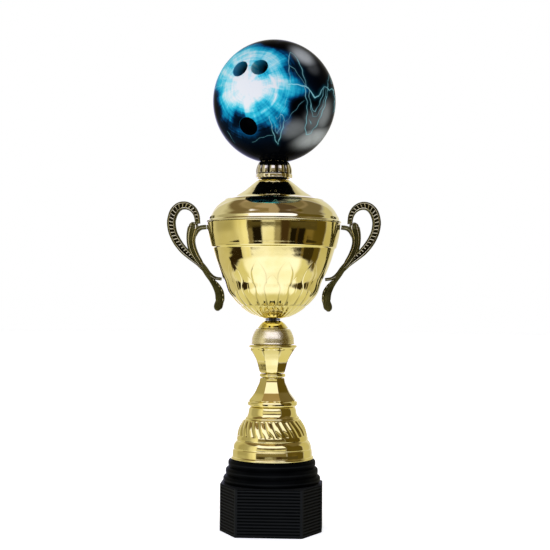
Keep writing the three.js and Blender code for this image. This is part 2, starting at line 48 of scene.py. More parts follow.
MM = 0.001
TAU = 2 * math.pi
TROPHY = "trophy"
LID_BODY = "lid_assembly"


def box_mm(node):
    """Lowest and highest corner of a CAD node, in millimetres."""
    low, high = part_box(node)
    return np.array(low) / MM, np.array(high) / MM


BLOCK_HIGH = box_mm("base_block")[1]
BALL_LOW, BALL_HIGH = box_mm("ball")
BALL_CENTRE = (BALL_LOW + BALL_HIGH) / 2
BALL_RADIUS = (BALL_HIGH[2] - BALL_LOW[2]) / 2
ROD_HOLE = 3.3
STUD_HOLE = 2.3

CAMERA_PLACE = np.array([50.1, -896.6, 170.6])
CAMERA_TARGET = np.array([1.4, 0.0, 191.9])
CAMERA_LENS = 77.35
CAMERA_ROLL = math.radians(0.4)


# ---- how the ball's marbling lies --------------------------------------------------------------

# It is laid out on the side that faces the front, in ball radii: x to the right and z up, as seen
# from the main camera's place.
BURST = (-0.42, 0.26)
TOWARD = (CAMERA_PLACE - BALL_CENTRE) / np.linalg.norm(CAMERA_PLACE - BALL_CENTRE)
RIGHTWARD = np.cross([0, 0, 1], TOWARD) / np.linalg.norm(np.cross([0, 0, 1], TOWARD))
UPWARD = np.cross(TOWARD, RIGHTWARD)


def burst_axes():
    """Two directions along the ball's surface at the burst's middle."""
    x, z = BURST
    out = x * RIGHTWARD + z * UPWARD + math.sqrt(1 - x * x - z * z) * TOWARD
    first = np.cross(UPWARD, out)
    first /= np.linalg.norm(first)
    return first, np.cross(out, first)


BURST_AXES = burst_axes()


# ---- profile helpers ---------------------------------------------------------------------------

def curve(points, divisions=24):
    """Uniform Catmull-Rom curve through points, with the given number of steps per span."""
    points = np.asarray(points, float)
    padded = np.vstack([points[:1], points, points[-1:]])
    t = np.linspace(0, 1, divisions, endpoint=False)[:, None]
    spans = []
    for i in range(1, len(padded) - 2):
        p0, p1, p2, p3 = padded[i - 1:i + 3]
        spans.append(0.5 * (
            2 * p1 + (p2 - p0) * t + (2 * p0 - 5 * p1 + 4 * p2 - p3) * t ** 2
            + (3 * p1 - p0 - 3 * p2 + p3) * t ** 3
        ))
    return np.vstack(spans + [points[-1:]])


def resample(points, step):
    """The same line with points at even distances of about step."""
    points = np.asarray(points, float)
    lengths = np.r_[0, np.cumsum(np.linalg.norm(np.diff(points, axis=0), axis=1))]
    keep = np.r_[True, np.diff(lengths) > 1e-9]
    points, lengths = points[keep], lengths[keep]
    count = max(2, int(round(lengths[-1] / step)) + 1)
    even = np.linspace(0, lengths[-1], count)
    return np.stack([np.interp(even, lengths, points[:, i]) for i in range(points.shape[1])], axis=1)


def soften(points, step, radius):
    """Even points on the line, with its corners rounded off over about radius."""
    line = resample(points, step)
    reach = max(1, int(round(2 * radius / step)))
    weights = np.exp(-0.5 * (np.arange(-reach, reach + 1) * step / (0.7 * radius)) ** 2)
    weights /= weights.sum()
    before = 2 * line[0] - line[reach:0:-1]
    after = 2 * line[-1] - line[-2:-reach - 2:-1]
    padded = np.vstack([before, line, after])
    return np.stack([np.convolve(padded[:, i], weights, "valid") for i in range(line.shape[1])], axis=1)


# ---- mesh helpers ------------------------------------------------------------------------------

def store(mesh, values):
    """Stores values, {attribute name: a number for each point}, in the mesh."""
    for key, numbers in values.items():
        attribute = mesh.attributes.new(key, "FLOAT", "POINT")
        attribute.data.foreach_set("value", np.asarray(numbers, np.float32).ravel())


def make_mesh(name, points, faces, values=None):
    """A mesh from points in millimetres, with values stored as attributes."""
    mesh = bpy.data.meshes.new(name)
    mesh.from_pydata((np.asarray(points) * MM).tolist(), [], faces)
    store(mesh, values or {})
    return mesh


def ring_faces(rings, count, closed=False):
    """Quads between neighbouring rings of count points; closed also joins the last ring to the first."""
    i, j = np.meshgrid(np.arange(rings if closed else rings - 1), np.arange(count), indexing="ij")
    up, along = (i + 1) % rings, (j + 1) % count
    corners = [i * count + j, i * count + along, up * count + along, up * count + j]
    return np.stack(corners, axis=-1).reshape(-1, 4).tolist()


def ring_caps(rings, count):
    """The two end faces of an open stack of rings."""
    first, last = list(range(count)), list(range((rings - 1) * count, rings * count))
    return [first[::-1], last]


def add_piece(name, mesh, material, body, nodes, crease):
    """Puts a mesh in the scene as a piece that rides on body and stands for the CAD nodes. Edges
    sharper than crease, in degrees, stay hard."""
    mesh.shade_smooth()
    mesh.set_sharp_from_angle(angle=math.radians(crease))
    mesh.materials.append(material)
    piece = bpy.data.objects.new(name, mesh)
    bpy.context.scene.collection.objects.link(piece)
    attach(piece, body)
    if nodes:
        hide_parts(*nodes)
    return piece


def turned_mesh(name, outer, inner, segments, shape=None):
    """Closed turned body. outer runs up the outside and inner down the inside, as [radius, height].
    shape(angle, radius, height) returns new radii and the values to store, for the outside."""
    outer, inner = np.asarray(outer, float), np.asarray(inner, float)
    profile = np.vstack([outer, inner])
    angle = np.arange(segments) * TAU / segments
    radius = np.repeat(profile[:, :1], segments, axis=1)
    height = np.repeat(profile[:, 1:], segments, axis=1)
    values = {}
    if shape:
        count = len(outer)
        grid = np.repeat(angle[None, :], count, axis=0)
        radius[:count], found = shape(grid, radius[:count], height[:count])
        for key, numbers in found.items():
            values[key] = np.vstack([numbers, np.zeros((len(inner), segments))])
    points = np.stack([radius * np.sin(angle), -radius * np.cos(angle), height], axis=-1)
    return make_mesh(name, points.reshape(-1, 3), ring_faces(len(profile), segments, closed=True), values)


def bump_line(distance, width):
    """1 on a line and 0 away from it, with a smooth flank."""
    return np.exp(-(distance / width) ** 2)


# ---- node helpers ------------------------------------------------------------------------------

class Tree:
    """Adds nodes to a material's or world's node tree."""

    def __init__(self, owner):
        owner.use_nodes = True
        self.tree = owner.node_tree
        self.tree.nodes.clear()

    def add(self, kind, inputs=None, **settings):
        """A new node. inputs is {socket: value, colour or the socket that feeds it}."""
        made = self.tree.nodes.new(kind)
        for key, value in settings.items():
            setattr(made, key, value)
        for key, value in (inputs or {}).items():
            self.put(made.inputs[key], value)
        return made

    def put(self, socket, value):
        if isinstance(value, bpy.types.NodeSocket):
            self.tree.links.new(value, socket)
        elif hasattr(value, "__len__") and len(value) == 3 and socket.type == "RGBA":
            socket.default_value = (*value, 1)
        else:
            socket.default_value = value

    def math(self, operation, a, b=0.0):
        return self.add("ShaderNodeMath", {0: a, 1: b}, operation=operation).outputs[0]

    def hypot(self, a, b):
        squares = [self.math("MULTIPLY", side, side) for side in (a, b)]
        return self.math("SQRT", self.math("ADD", *squares))

    def fade(self, value, low, high, out_low=0.0, out_high=1.0):
        """out_low below low, out_high above high, and smooth between them."""
        made = self.add("ShaderNodeMapRange", {
            "Value": value, "From Min": low, "From Max": high, "To Min": out_low, "To Max": out_high,
        }, interpolation_type="SMOOTHSTEP")
        return made.outputs[0]

    def blend(self, share, first, second):
        """The first colour where share is 0 and the second where it is 1."""
        made = self.add("ShaderNodeMix", data_type="RGBA")
        self.put(made.inputs["Factor"], share)
        self.put(made.inputs["A"], first)
        self.put(made.inputs["B"], second)
        return made.outputs["Result"]

    def noise(self, place, scale, detail=2.0, roughness=0.5, distortion=0.0):
        return self.add("ShaderNodeTexNoise", {
            "Vector": place, "Scale": scale, "Detail": detail, "Roughness": roughness,
            "Distortion": distortion,
        }).outputs["Fac"]

    def attribute(self, name):
        return self.add("ShaderNodeAttribute", attribute_name=name).outputs["Fac"]

    def place(self):
        """Each point's place in the object's own frame, in metres."""
        return self.add("ShaderNodeTexCoord").outputs["Object"]

    def stretched(self, place, scale):
        return self.add("ShaderNodeMapping", {"Vector": place, "Scale": scale}).outputs[0]

    def bump(self, height, strength, distance, normal=None):
        inputs = {"Height": height, "Strength": strength, "Distance": distance}
        if normal is not None:
            inputs["Normal"] = normal
        return self.add("ShaderNodeBump", inputs).outputs[0]

    def surface(self, **inputs):
        """The material's Principled shader."""
        shader = self.add("ShaderNodeBsdfPrincipled")
        for key, value in inputs.items():
            self.put(shader.inputs[key.replace("_", " ")], value)
        output = self.add("ShaderNodeOutputMaterial")
        self.tree.links.new(shader.outputs[0], output.inputs["Surface"])
        return shader


def new_material(name):
    material = bpy.data.materials.new(name)
    return material, Tree(material)


# ---- materials ---------------------------------------------------------------------------------

def plated(name, bright, deep, roughness, peel, groove_shade_colour=None):
    """Bright plating: slight tint drift, fine orange peel, soft haze and, where asked, painted shade in the
    grooves.
    """
    material, t = new_material(name)
    place = t.place()
    drift = t.fade(t.noise(place, 45, 3.0), 0.35, 0.65)
    colour = t.blend(drift, bright, deep)
    haze = t.noise(place, 160, 4.0, 0.6)
    rough = t.fade(haze, 0.3, 0.75, roughness, roughness * 2.2)
    if groove_shade_colour:
        # Painted shade: the "groove" attribute blends the given dark colour into the grooves and makes them
        # rougher.
        groove = t.attribute("groove")
        groove_shade = t.math("MULTIPLY", groove, t.fade(haze, 0.2, 0.6, 0.75, 1.0))
        colour = t.blend(groove_shade, colour, groove_shade_colour)
        rough = t.math("ADD", rough, t.math("MULTIPLY", groove, 0.15))
    normal = t.bump(t.noise(place, 420, 2.0), peel, 0.00035)
    t.surface(Base_Color=colour, Metallic=1.0, Roughness=rough, Normal=normal)
    return material


def satin_gold():
    """Spun satin plating: fine rings around the axis and a soft sparkle."""
    material, t = new_material("satin_gold_spun")
    place = t.place()
    rings = t.noise(t.stretched(place, (60, 60, 2600)), 1.0, 4.0, 0.6)
    sparkle = t.noise(place, 2300, 2.0, 0.7)
    colour = t.blend(t.fade(rings, 0.3, 0.7), (0.80, 0.71, 0.38), (0.92, 0.85, 0.56))
    rough = t.fade(sparkle, 0.3, 0.7, 0.20, 0.32)
    normal = t.bump(rings, 0.35, 0.0003, t.bump(sparkle, 0.3, 0.0002))
    t.surface(Base_Color=colour, Metallic=1.0, Roughness=rough, Normal=normal)
    return material


def antique_cast():
    """Cast handles: dark olive tarnish in the hollows and bright rubbed edges."""
    material, t = new_material("antique_cast_gold")
    place = t.place()
    grain = t.noise(place, 900, 4.0, 0.65)
    cloud = t.noise(place, 140, 3.0)
    rubbed = t.attribute("rubbed")
    worn = t.fade(t.math("ADD", rubbed, t.math("MULTIPLY", grain, 0.25)), 0.45, 0.85)
    dark = t.blend(t.fade(cloud, 0.3, 0.7), (0.062, 0.058, 0.014), (0.130, 0.122, 0.036))
    dark = t.blend(t.fade(rubbed, -0.75, -0.1, 1.0, 0.0), dark, (0.012, 0.010, 0.003))
    colour = t.blend(worn, dark, (0.86, 0.80, 0.52))
    rough = t.fade(worn, 0.0, 1.0, 0.42, 0.24)
    normal = t.bump(grain, 0.35, 0.0003, t.bump(cloud, 0.2, 0.0006))
    t.surface(Base_Color=colour, Metallic=1.0, Roughness=rough, Normal=normal)
    return material


def plinth_plastic():
    """Black moulded plastic: satin, with a fine mould grain, painted highlights on the edges and rib tops,
    and painted shade down in the rib grooves.
    """
    material, t = new_material("plinth_black_plastic")
    place = t.place()
    grain = t.noise(place, 1500, 3.0, 0.6)
    cloud = t.noise(place, 70, 3.0)
    edge = t.attribute("edge")
    colour = t.blend(t.fade(cloud, 0.3, 0.7), (0.0008, 0.0011, 0.0012), (0.0018, 0.0022, 0.0024))
    # Painted highlight where "edge" is high; low "edge" leaves painted shade.
    colour = t.blend(t.math("MULTIPLY", edge, 0.8), colour, (0.0115, 0.0128, 0.0128))
    rough = t.fade(grain, 0.3, 0.7, 0.40, 0.55)
    normal = t.bump(grain, 0.25, 0.0002)
    shader = t.surface(Base_Color=colour, Roughness=rough, Normal=normal)
    shader.inputs["Specular IOR Level"].default_value = 0.015
    return material


MARBLE_STOPS = [
    (0.00, (0.0005, 0.0007, 0.0012)), (0.18, (0.0009, 0.0055, 0.0140)), (0.35, (0.0020, 0.0480, 0.1350)),
    (0.52, (0.0040, 0.2400, 0.4100)), (0.68, (0.0300, 0.4600, 0.6000)), (0.82, (0.2400, 0.6200, 0.6900)),
    (1.00, (0.6650, 0.7050, 0.7100)),
]
# The grey below is painted reflection of softboxes on the ball.
GLINT_GREY = (0.360, 0.395, 0.385)
HALO_TEAL = (0.0060, 0.1300, 0.1900)
VEIN_CYAN = (0.30, 0.74, 0.78)
# The two colours below are the painted shade inside the finger holes, navy and black.
POCKET_BLUE = (0.0120, 0.2200, 0.4000)
POCKET_BLACK = (0.0006, 0.0010, 0.0020)


def burst_streaks(t):
    """(rings around the burst's middle, rays out from it), each as noise about zero."""
    centre = t.add("ShaderNodeVectorMath", {0: t.place(), 1: BALL_CENTRE * MM}, operation="SUBTRACT")
    across, upward = [
        t.add("ShaderNodeVectorMath", {0: centre.outputs[0], 1: axis / (BALL_RADIUS * MM)},
              operation="DOT_PRODUCT").outputs["Value"]
        for axis in BURST_AXES
    ]
    far = t.math("MAXIMUM", t.hypot(across, upward), 0.001)
    cosine, sine = t.math("DIVIDE", across, far), t.math("DIVIDE", upward, far)

    def stretched_noise(turns, out, detail):
        """Noise stretched around the burst (few turns) or out from it (many turns)."""
        place = t.add("ShaderNodeCombineXYZ", {
            0: t.math("MULTIPLY", cosine, turns),
            1: t.math("MULTIPLY", sine, turns),
            2: t.math("MULTIPLY", far, out),
        })
        return t.math("SUBTRACT", t.noise(place.outputs[0], 1.0, detail, 0.6), 0.5)

    return stretched_noise(1.1, 26, 3.0), stretched_noise(3.4, 1.6, 4.0)


RING_STIR = 0.44
RAY_STIR = 0.80
CLOUD_STIR = 0.58


def stirred(t, glow, cloud):
    """The glow with streaks and cloud stirred in, less in the white middle and not in the black."""
    rings, rays = burst_streaks(t)
    stir = t.math("ADD", t.math("MULTIPLY", rings, RING_STIR), t.math("MULTIPLY", rays, RAY_STIR))
    stir = t.math("ADD", stir, t.math("MULTIPLY", cloud, CLOUD_STIR))
    loose = t.fade(glow, 0.84, 1.06, 1.0, 0.38)
    stir = t.math("MULTIPLY", t.math("MULTIPLY", stir, loose), t.fade(glow, 0.05, 0.35))
    return t.math("ADD", glow, stir)


def marble_ramp(t, value):
    """Black through blue and cyan to white."""
    ramp = t.add("ShaderNodeValToRGB", {0: value})
    elements = ramp.color_ramp.elements
    for index, (stop, tone) in enumerate(MARBLE_STOPS):
        element = elements[index] if index < 2 else elements.new(stop)
        element.position = stop
        element.color = (*tone, 1)
    return ramp.outputs[0]


def ball_resin():
    """Marbled resin: a white burst that breaks up through cyan into blue and black, with thin pale veins,
    grey painted reflections of softboxes and painted shade inside the finger holes. Fine streaks run around
    the burst's middle and out from it."""
    material, t = new_material("marbled_ball_resin")
    cloud = t.math("SUBTRACT", t.noise(t.place(), 62, 4.0, 0.6, 0.4), 0.5)
    colour = marble_ramp(t, stirred(t, t.attribute("glow"), cloud))
    # Painted grey reflections of softboxes, over the marbling.
    glint = t.math("MULTIPLY", t.attribute("glint"), t.fade(cloud, -0.3, 0.2, 0.75, 1.0))
    colour = t.blend(glint, colour, GLINT_GREY)
    colour = t.blend(t.attribute("halo"), colour, HALO_TEAL)
    patchy = t.fade(t.noise(t.place(), 150, 3.0), 0.35, 0.62, 0.45, 1.0)
    colour = t.blend(t.math("MULTIPLY", t.attribute("vein"), patchy), colour, VEIN_CYAN)
    # Painted shade inside the finger holes: navy, blacker where "dark" is high.
    pocket = t.blend(t.attribute("dark"), POCKET_BLUE, POCKET_BLACK)
    colour = t.blend(t.attribute("pocket"), colour, pocket)
    rough = t.fade(cloud, -0.2, 0.25, 0.05, 0.09)
    normal = t.bump(t.noise(t.place(), 300, 2.0), 0.03, 0.0003)
    shader = t.surface(Base_Color=colour, Roughness=rough, Normal=normal)
    shader.inputs["Specular IOR Level"].default_value = 0.004
    return material


def plain_metal(name, bright, deep, rough_low, rough_high, lathe):
    """Machined or plated hardware: tint drift, tool marks around Z and fine scratches."""
    material, t = new_material(name)
    place = t.place()
    marks = t.noise(t.stretched(place, (lathe, lathe, 1800)), 1.0, 4.0, 0.6)
    cloud = t.noise(place, 220, 3.0)
    colour = t.blend(t.fade(cloud, 0.3, 0.7), bright, deep)
    rough = t.fade(cloud, 0.3, 0.7, rough_low, rough_high)
    t.surface(Base_Color=colour, Metallic=1.0, Roughness=rough, Normal=t.bump(marks, 0.3, 0.0003))
    return material


def moulded(name, light, dark, rough_low, rough_high, grain_scale):
    """Plastic or rubber: mottled colour, fine grain."""
    material, t = new_material(name)
    place = t.place()
    grain = t.noise(place, grain_scale, 4.0, 0.6)
    cloud = t.noise(place, 90, 3.0)
    colour = t.blend(t.fade(cloud, 0.3, 0.7), light, dark)
    rough = t.fade(grain, 0.3, 0.7, rough_low, rough_high)
    t.surface(Base_Color=colour, Roughness=rough, Normal=t.bump(grain, 0.4, 0.0003))
    return material


# The last colour given to GOLD and CROWN_GOLD is the painted shade in their grooves.
GOLD = plated("plated_gold", (0.88, 0.78, 0.33), (0.80, 0.69, 0.24), 0.035, 0.05, (0.10, 0.075, 0.012))
LID_GOLD = plated("pale_spun_gold", (0.88, 0.82, 0.47), (0.83, 0.76, 0.40), 0.035, 0.03)
CROWN_GOLD = plated("pale_crown_gold", (0.90, 0.84, 0.62), (0.84, 0.77, 0.50), 0.04, 0.05,
                    (0.03, 0.022, 0.010))
SATIN = satin_gold()
ANTIQUE = antique_cast()
PLASTIC = plinth_plastic()
RESIN = ball_resin()
STEEL = plain_metal("zinc_plated_steel", (0.55, 0.56, 0.58), (0.42, 0.43, 0.46), 0.25, 0.42, 200)
IRON = plain_metal("grey_cast_iron", (0.10, 0.10, 0.105), (0.06, 0.06, 0.065), 0.55, 0.75, 900)
BRASS = plain_metal("insert_brass", (0.78, 0.60, 0.26), (0.66, 0.48, 0.18), 0.22, 0.38, 200)
RUBBER = moulded("black_rubber", (0.016, 0.016, 0.017), (0.009, 0.009, 0.010), 0.7, 0.9, 1700)
WHITE = moulded("white_moulded_plastic", (0.74, 0.73, 0.69), (0.66, 0.65, 0.60), 0.35, 0.5, 1300)


# ---- plinth ------------------------------------------------------------------------------------

CHAMFER_DISTANCE = 39.2
CHAMFER_ANGLE = math.radians(27.3)
BLOCK_TOP = 35.2
BLOCK_BEVEL = 0.25
CORNER_BORDER = 1.5
RIB_COUNT = 15
RIB_PITCH = 2.3
RIB_DEPTH = 0.6
RIB_END = 0.35
ROW_STEP = 0.12


def block_corners():
    """The octagon's eight corners, counter-clockwise."""
    nx, ny = math.cos(CHAMFER_ANGLE), math.sin(CHAMFER_ANGLE)
    side, front = BLOCK_HIGH[:2]
    first = (side, (CHAMFER_DISTANCE - nx * side) / ny)
    second = ((CHAMFER_DISTANCE - ny * front) / nx, front)
    quarter = np.array([first, second])
    mirror_x, mirror_y = np.array([-1, 1]), np.array([1, -1])
    return np.vstack([
        quarter, (quarter * mirror_x)[::-1], -quarter, (quarter * mirror_y)[::-1],
    ])


def block_outline():
    """Points around the block, their outward directions and how deep the ribs are there, 0 to 1."""
    corners = block_corners()
    points, outward, border = [], [], []
    for a, b in zip(corners, np.roll(corners, -1, axis=0)):
        length = np.linalg.norm(b - a)
        out = np.array([b[1] - a[1], a[0] - b[0]]) / length
        near = np.array([0.35, 0.8, CORNER_BORDER, CORNER_BORDER + RIB_END])
        middle = np.linspace(CORNER_BORDER + 1, length - CORNER_BORDER - 1, 8)
        stations = np.r_[near, middle, length - near[::-1]]
        points.append(a + (b - a) * stations[:, None] / length)
        outward.append(np.tile(out, (len(stations), 1)))
        inset = np.minimum(stations, length - stations)
        border.append(np.clip((inset - CORNER_BORDER) / RIB_END, 0, 1))
    return np.vstack(points), np.vstack(outward), np.concatenate(border)


def plinth_block():
    """Octagonal block with fine ribs that stop short of the corners."""
    z = np.arange(BLOCK_BEVEL, BLOCK_TOP - 0.2, ROW_STEP)
    phase = (z - (BLOCK_TOP - RIB_COUNT * RIB_PITCH) / 2) / RIB_PITCH
    inside = (phase > 0) & (phase < RIB_COUNT)
    groove = np.where(inside, np.clip(0.5 + 1.9 * np.cos(TAU * phase), 0, 1), 0)
    rows, outward, border = block_outline()
    sunk = groove[:, None] * border
    sides = rows - outward * (RIB_DEPTH * sunk)[..., None]
    sides = np.concatenate([sides, np.broadcast_to(z[:, None, None], (*sunk.shape, 1))], axis=2)
    shoulder = rows - outward * BLOCK_BEVEL
    bottom = np.c_[shoulder, np.zeros(len(rows))]
    top = np.c_[shoulder, np.full(len(rows), BLOCK_TOP)]
    points = np.concatenate([bottom[None], sides, top[None]])
    bevel = np.ones((1, len(rows)))
    # Painted highlight on the bevel rows and the rib tops; the grooves are left dark as painted shade.
    edge = np.concatenate([bevel, 1 - sunk, bevel])
    size = points.shape[:2]
    faces = ring_faces(*size) + ring_caps(*size)
    mesh = make_mesh("plinth_block", points.reshape(-1, 3), faces, {"edge": edge})
    return add_piece("plinth_block", mesh, PLASTIC, TROPHY, ["base_block"], 25)


# The round steps on the block: radius, bottom and top.
STEPS = [(36.7, BLOCK_TOP, 40.8), (34.9, 40.8, 46.8), (33.0, 46.8, 52.8)]
STEPS_TOP = STEPS[-1][2]
STEP_PITCH = 6.0
STEP_BULGE = 2.8


def plinth_steps():
    """Three rounded steps between the block and the gold foot."""
    line = [[36.5, BLOCK_TOP - 0.6]]
    for radius, bottom, top in STEPS:
        waist = radius - 0.9
        line += [[waist, bottom + 0.3], [radius - 0.15, bottom + 1.4], [radius, bottom + STEP_BULGE],
                 [radius - 0.1, top - 1.3], [waist, top - 0.25], [radius - 1.7, top]]
    line.append([26.0, STEPS_TOP])
    outer = soften(line, 0.25, 0.35)
    inner = [[ROD_HOLE, STEPS_TOP], [ROD_HOLE, BLOCK_TOP - 0.6]]

    def shape(angle, radius, height):
        away = np.abs((height - BLOCK_TOP) % STEP_PITCH - STEP_BULGE)
        # Painted highlight line along the bulge of each step.
        return radius, {"edge": 0.7 * bump_line(away, 0.5)}

    mesh = turned_mesh("plinth_steps", outer, inner, 192, shape)
    return add_piece("plinth_steps", mesh, PLASTIC, TROPHY, (), 50)


# ---- stem --------------------------------------------------------------------------------------

FLUTES = 26
FLUTE_BOTTOM = 70.6
FLUTE_TOP = 82.6
FLUTE_SLANT = 0.0192
FLUTE_DEPTH = 0.75


def foot():
    """Bell-shaped foot with a slanted fluted belt."""
    line = np.vstack([
        [[28.8, 53.1], [31.1, 53.1], [31.5, 54.2], [30.9, 55.2], [30.35, 55.4], [30.3, 58.1], [30.0, 60.6]],
        [[29.3, 61.0]],
        curve([[29.7, 61.5], [29.0, 64.7], [27.6, 66.9]]),
        [[26.9, 67.3], [27.2, 68.2]],
        curve([[26.9, 69.6], [26.7, 70.4], [25.1, 76.5], [21.4, 82.8]]),
        [[20.6, 83.3], [20.5, 84.1]],
        curve([[20.2, 84.5], [19.3, 85.5], [18.5, 87.2], [18.0, 90.1]]),
        [[17.6, 91.6], [17.0, 92.3], [15.2, 92.3]],
    ])
    outer = soften(line, 0.25, 0.3)
    inner = [[15.2, 91.0], [17.9, 84.0], [22.6, 77.0], [25.2, 69.0], [27.6, 61.0], [28.6, 53.4]]

    def shape(angle, radius, height):
        belt = np.clip((height - FLUTE_BOTTOM) / 0.9, 0, 1) * np.clip((FLUTE_TOP - height) / 0.9, 0, 1)
        wave = FLUTES * (angle + FLUTE_SLANT * (height - FLUTE_BOTTOM))
        rib = np.abs(np.sin(wave / 2))
        # Painted shade along the bottoms of the flutes, stored as "groove".
        groove = 0.8 * np.clip(belt * bump_line(rib, 0.22), 0, 1)
        return radius - FLUTE_DEPTH * belt * (1 - rib), {"groove": groove}

    mesh = turned_mesh("foot_shell", outer, inner, 416, shape)
    return add_piece("foot_shell", mesh, GOLD, TROPHY, ["foot_bell"], 60)


FACETS = 8
FACET_STEP = TAU / FACETS


def facet_offset(angle):
    """Angle from the middle of the facet that holds each point."""
    return angle - FACET_STEP * np.round(angle / FACET_STEP)


def riser_lower():
    """Eight-sided concave riser on a round rim."""
    rim_top, neck_top = 96.6, 114.1
    line = np.vstack([
        [[15.6, 92.6], [17.6, 92.6], [18.8, 93.6], [19.0, 95.0], [18.6, 96.2], [17.6, rim_top]],
        curve([[17.2, 97.2], [13.2, 102.6], [11.2, 106.8], [9.6, 110.6], [9.1, 113.6]]),
        [[9.0, neck_top], [7.6, neck_top]],
    ])
    outer = soften(line, 0.25, 0.25)
    inner = [[7.6, 109], [11.6, 102.4], [15.6, 96]]

    def shape(angle, radius, height):
        share = np.clip((height - rim_top) / 0.6, 0, 1) * np.clip((neck_top - height) / 0.6, 0, 1)
        flat = radius / np.cos(facet_offset(angle))
        return radius + (flat - radius) * share, {}

    mesh = turned_mesh("riser_lower_shell", outer, inner, 256, shape)
    return add_piece("riser_lower_shell", mesh, GOLD, TROPHY, ["lower_riser"], 22)


def riser_bead():
    """Round bead between the two risers."""
    bottom, top, bead_radius = 114.4, 117.4, 1.5
    opening = math.radians(80)
    turn = np.linspace(-opening, opening, 41)
    radii = 8.4 + bead_radius * np.cos(turn)
    heights = (bottom + top) / 2 + bead_radius * np.sin(turn) / math.sin(opening)
    outer = np.vstack([[[7.0, bottom]], np.c_[radii, heights], [[7.0, top]]])
    inner = [[ROD_HOLE, top], [ROD_HOLE, bottom]]
    mesh = turned_mesh("riser_bead", outer, inner, 160)
    return add_piece("riser_bead", mesh, GOLD, TROPHY, ["riser_ring"], 50)


def riser_upper():
    """Eight-sided flaring riser: arched facets under a round rim, with notches between them."""
    arch_top, arch_drop, notch_depth = 136.2, 1.1, 0.9
    line = np.vstack([
        [[6.5, 117.7], [9.0, 117.7]],
        curve([[9.3, 118.2], [9.9, 120.3], [11.6, 126.5], [14.2, 131.6], [17.3, 136.6]]),
        [[18.3, 137.4], [18.4, 138.0], [18.0, 138.6], [16.8, 139.2], [14.4, 139.2]],
    ])
    outer = soften(line, 0.22, 0.22)
    inner = [[14.4, 137.2], [11.4, 131], [8, 122.5], [6.5, 119.0]]

    def shape(angle, radius, height):
        offset = facet_offset(angle)
        across = np.abs(offset) / (FACET_STEP / 2)
        top = arch_top - arch_drop * across ** 2
        share = np.clip((top - height) / 0.5, 0, 1) * np.clip((height - 118.0) / 0.5, 0, 1)
        flat = radius / np.cos(offset)
        notch = notch_depth * np.clip((height - 126) / 10, 0, 1) * np.clip(137.2 - height, 0, 1)
        cut = notch * bump_line(1 - across, 0.13)
        # Painted shade along the notches between the facets.
        dark = bump_line(1 - across, 0.10) * np.clip((height - 127) / 8, 0, 1) * (height < 137)
        return radius + (flat - radius) * share - cut, {"groove": 0.8 * dark}

    mesh = turned_mesh("riser_upper_shell", outer, inner, 320, shape)
    return add_piece("riser_upper_shell", mesh, GOLD, TROPHY, ["upper_riser"], 22)


def dome():
    """Satin dome on a small bright ledge."""
    line = np.vstack([
        [[14.2, 139.5], [16.4, 139.5], [16.5, 140.1], [16.2, 140.5]],
        curve([[16.2, 140.8], [15.9, 144.4], [14.4, 148.4], [12.8, 151.0]]),
        [[12.2, 151.1], [10.8, 151.1]],
    ])
    outer = soften(line, 0.25, 0.25)
    inner = [[10.8, 149.1], [13.6, 144.4], [14.2, 141.5]]
    mesh = turned_mesh("dome_shell", outer, inner, 224)
    return add_piece("dome_shell", mesh, SATIN, TROPHY, ["satin_dome"], 50)


def collar():
    """Polished collar that carries the cup."""
    line = np.vstack([
        [[9.5, 151.4], [11.3, 151.4], [11.5, 152.0]],
        curve([[11.1, 152.5], [9, 155.1], [6.3, 157.1]]),
        [[5.6, 157.3], [5.4, 157.5]],
    ])
    outer = soften(line, 0.2, 0.2)
    inner = [[ROD_HOLE, 157.5], [ROD_HOLE, 151.4]]
    mesh = turned_mesh("collar_shell", outer, inner, 192)
    return add_piece("collar_shell", mesh, GOLD, TROPHY, ["dome_collar"], 50)


# ---- cup ---------------------------------------------------------------------------------------

PETALS = 12
PETAL_STEP = TAU / PETALS
# Tiers of slender petals: angle of the first, height of the tip and of the widest place, half angle there.
UPPER_PETALS = {"centre": math.radians(17), "tip": 201.5, "wide": 189.0, "half": math.radians(8.6)}
LOWER_PETALS = {"centre": math.radians(2), "tip": 191.0, "wide": 180.5, "half": math.radians(9.6)}
PETAL_ROOT = 164.5
PETAL_RISE = 0.6
ROSETTE_TOP = 168.3
ROSETTE_LOBES = 30


def petal_field(angle, radius, height, tier):
    """(height of the relief, the fine groove around it, where the petals are) of one tier."""
    offset = angle - tier["centre"]
    offset = np.abs(offset - PETAL_STEP * np.round(offset / PETAL_STEP))
    above = np.clip((tier["tip"] - height) / (tier["tip"] - tier["wide"]), 0, 1)
    below = np.clip((tier["wide"] - height) / (tier["wide"] - PETAL_ROOT), 0, 1)
    half = tier["half"] * np.sin(math.pi / 2 * above) ** 0.85 * (1 - 0.42 * below ** 1.3)
    reach = (half - offset) * radius
    reach = np.where(height > tier["tip"], -9, reach)
    body = np.clip(reach / 0.5, 0, 1)
    ramp = np.clip((tier["tip"] - height) / (1.8 * (tier["tip"] - tier["wide"])), 0, 1)
    grown = ramp * ramp * (3 - 2 * ramp)
    pillow = PETAL_RISE * (1 - np.exp(-np.maximum(reach, 0) / 1.6)) * grown
    spine = 0.10 * bump_line(offset * radius, 0.5) * grown
    groove = bump_line(reach, 0.48) * np.clip(2 * above, 0, 1) * (0.35 + 0.65 * below)
    return pillow - spine * body, groove, body


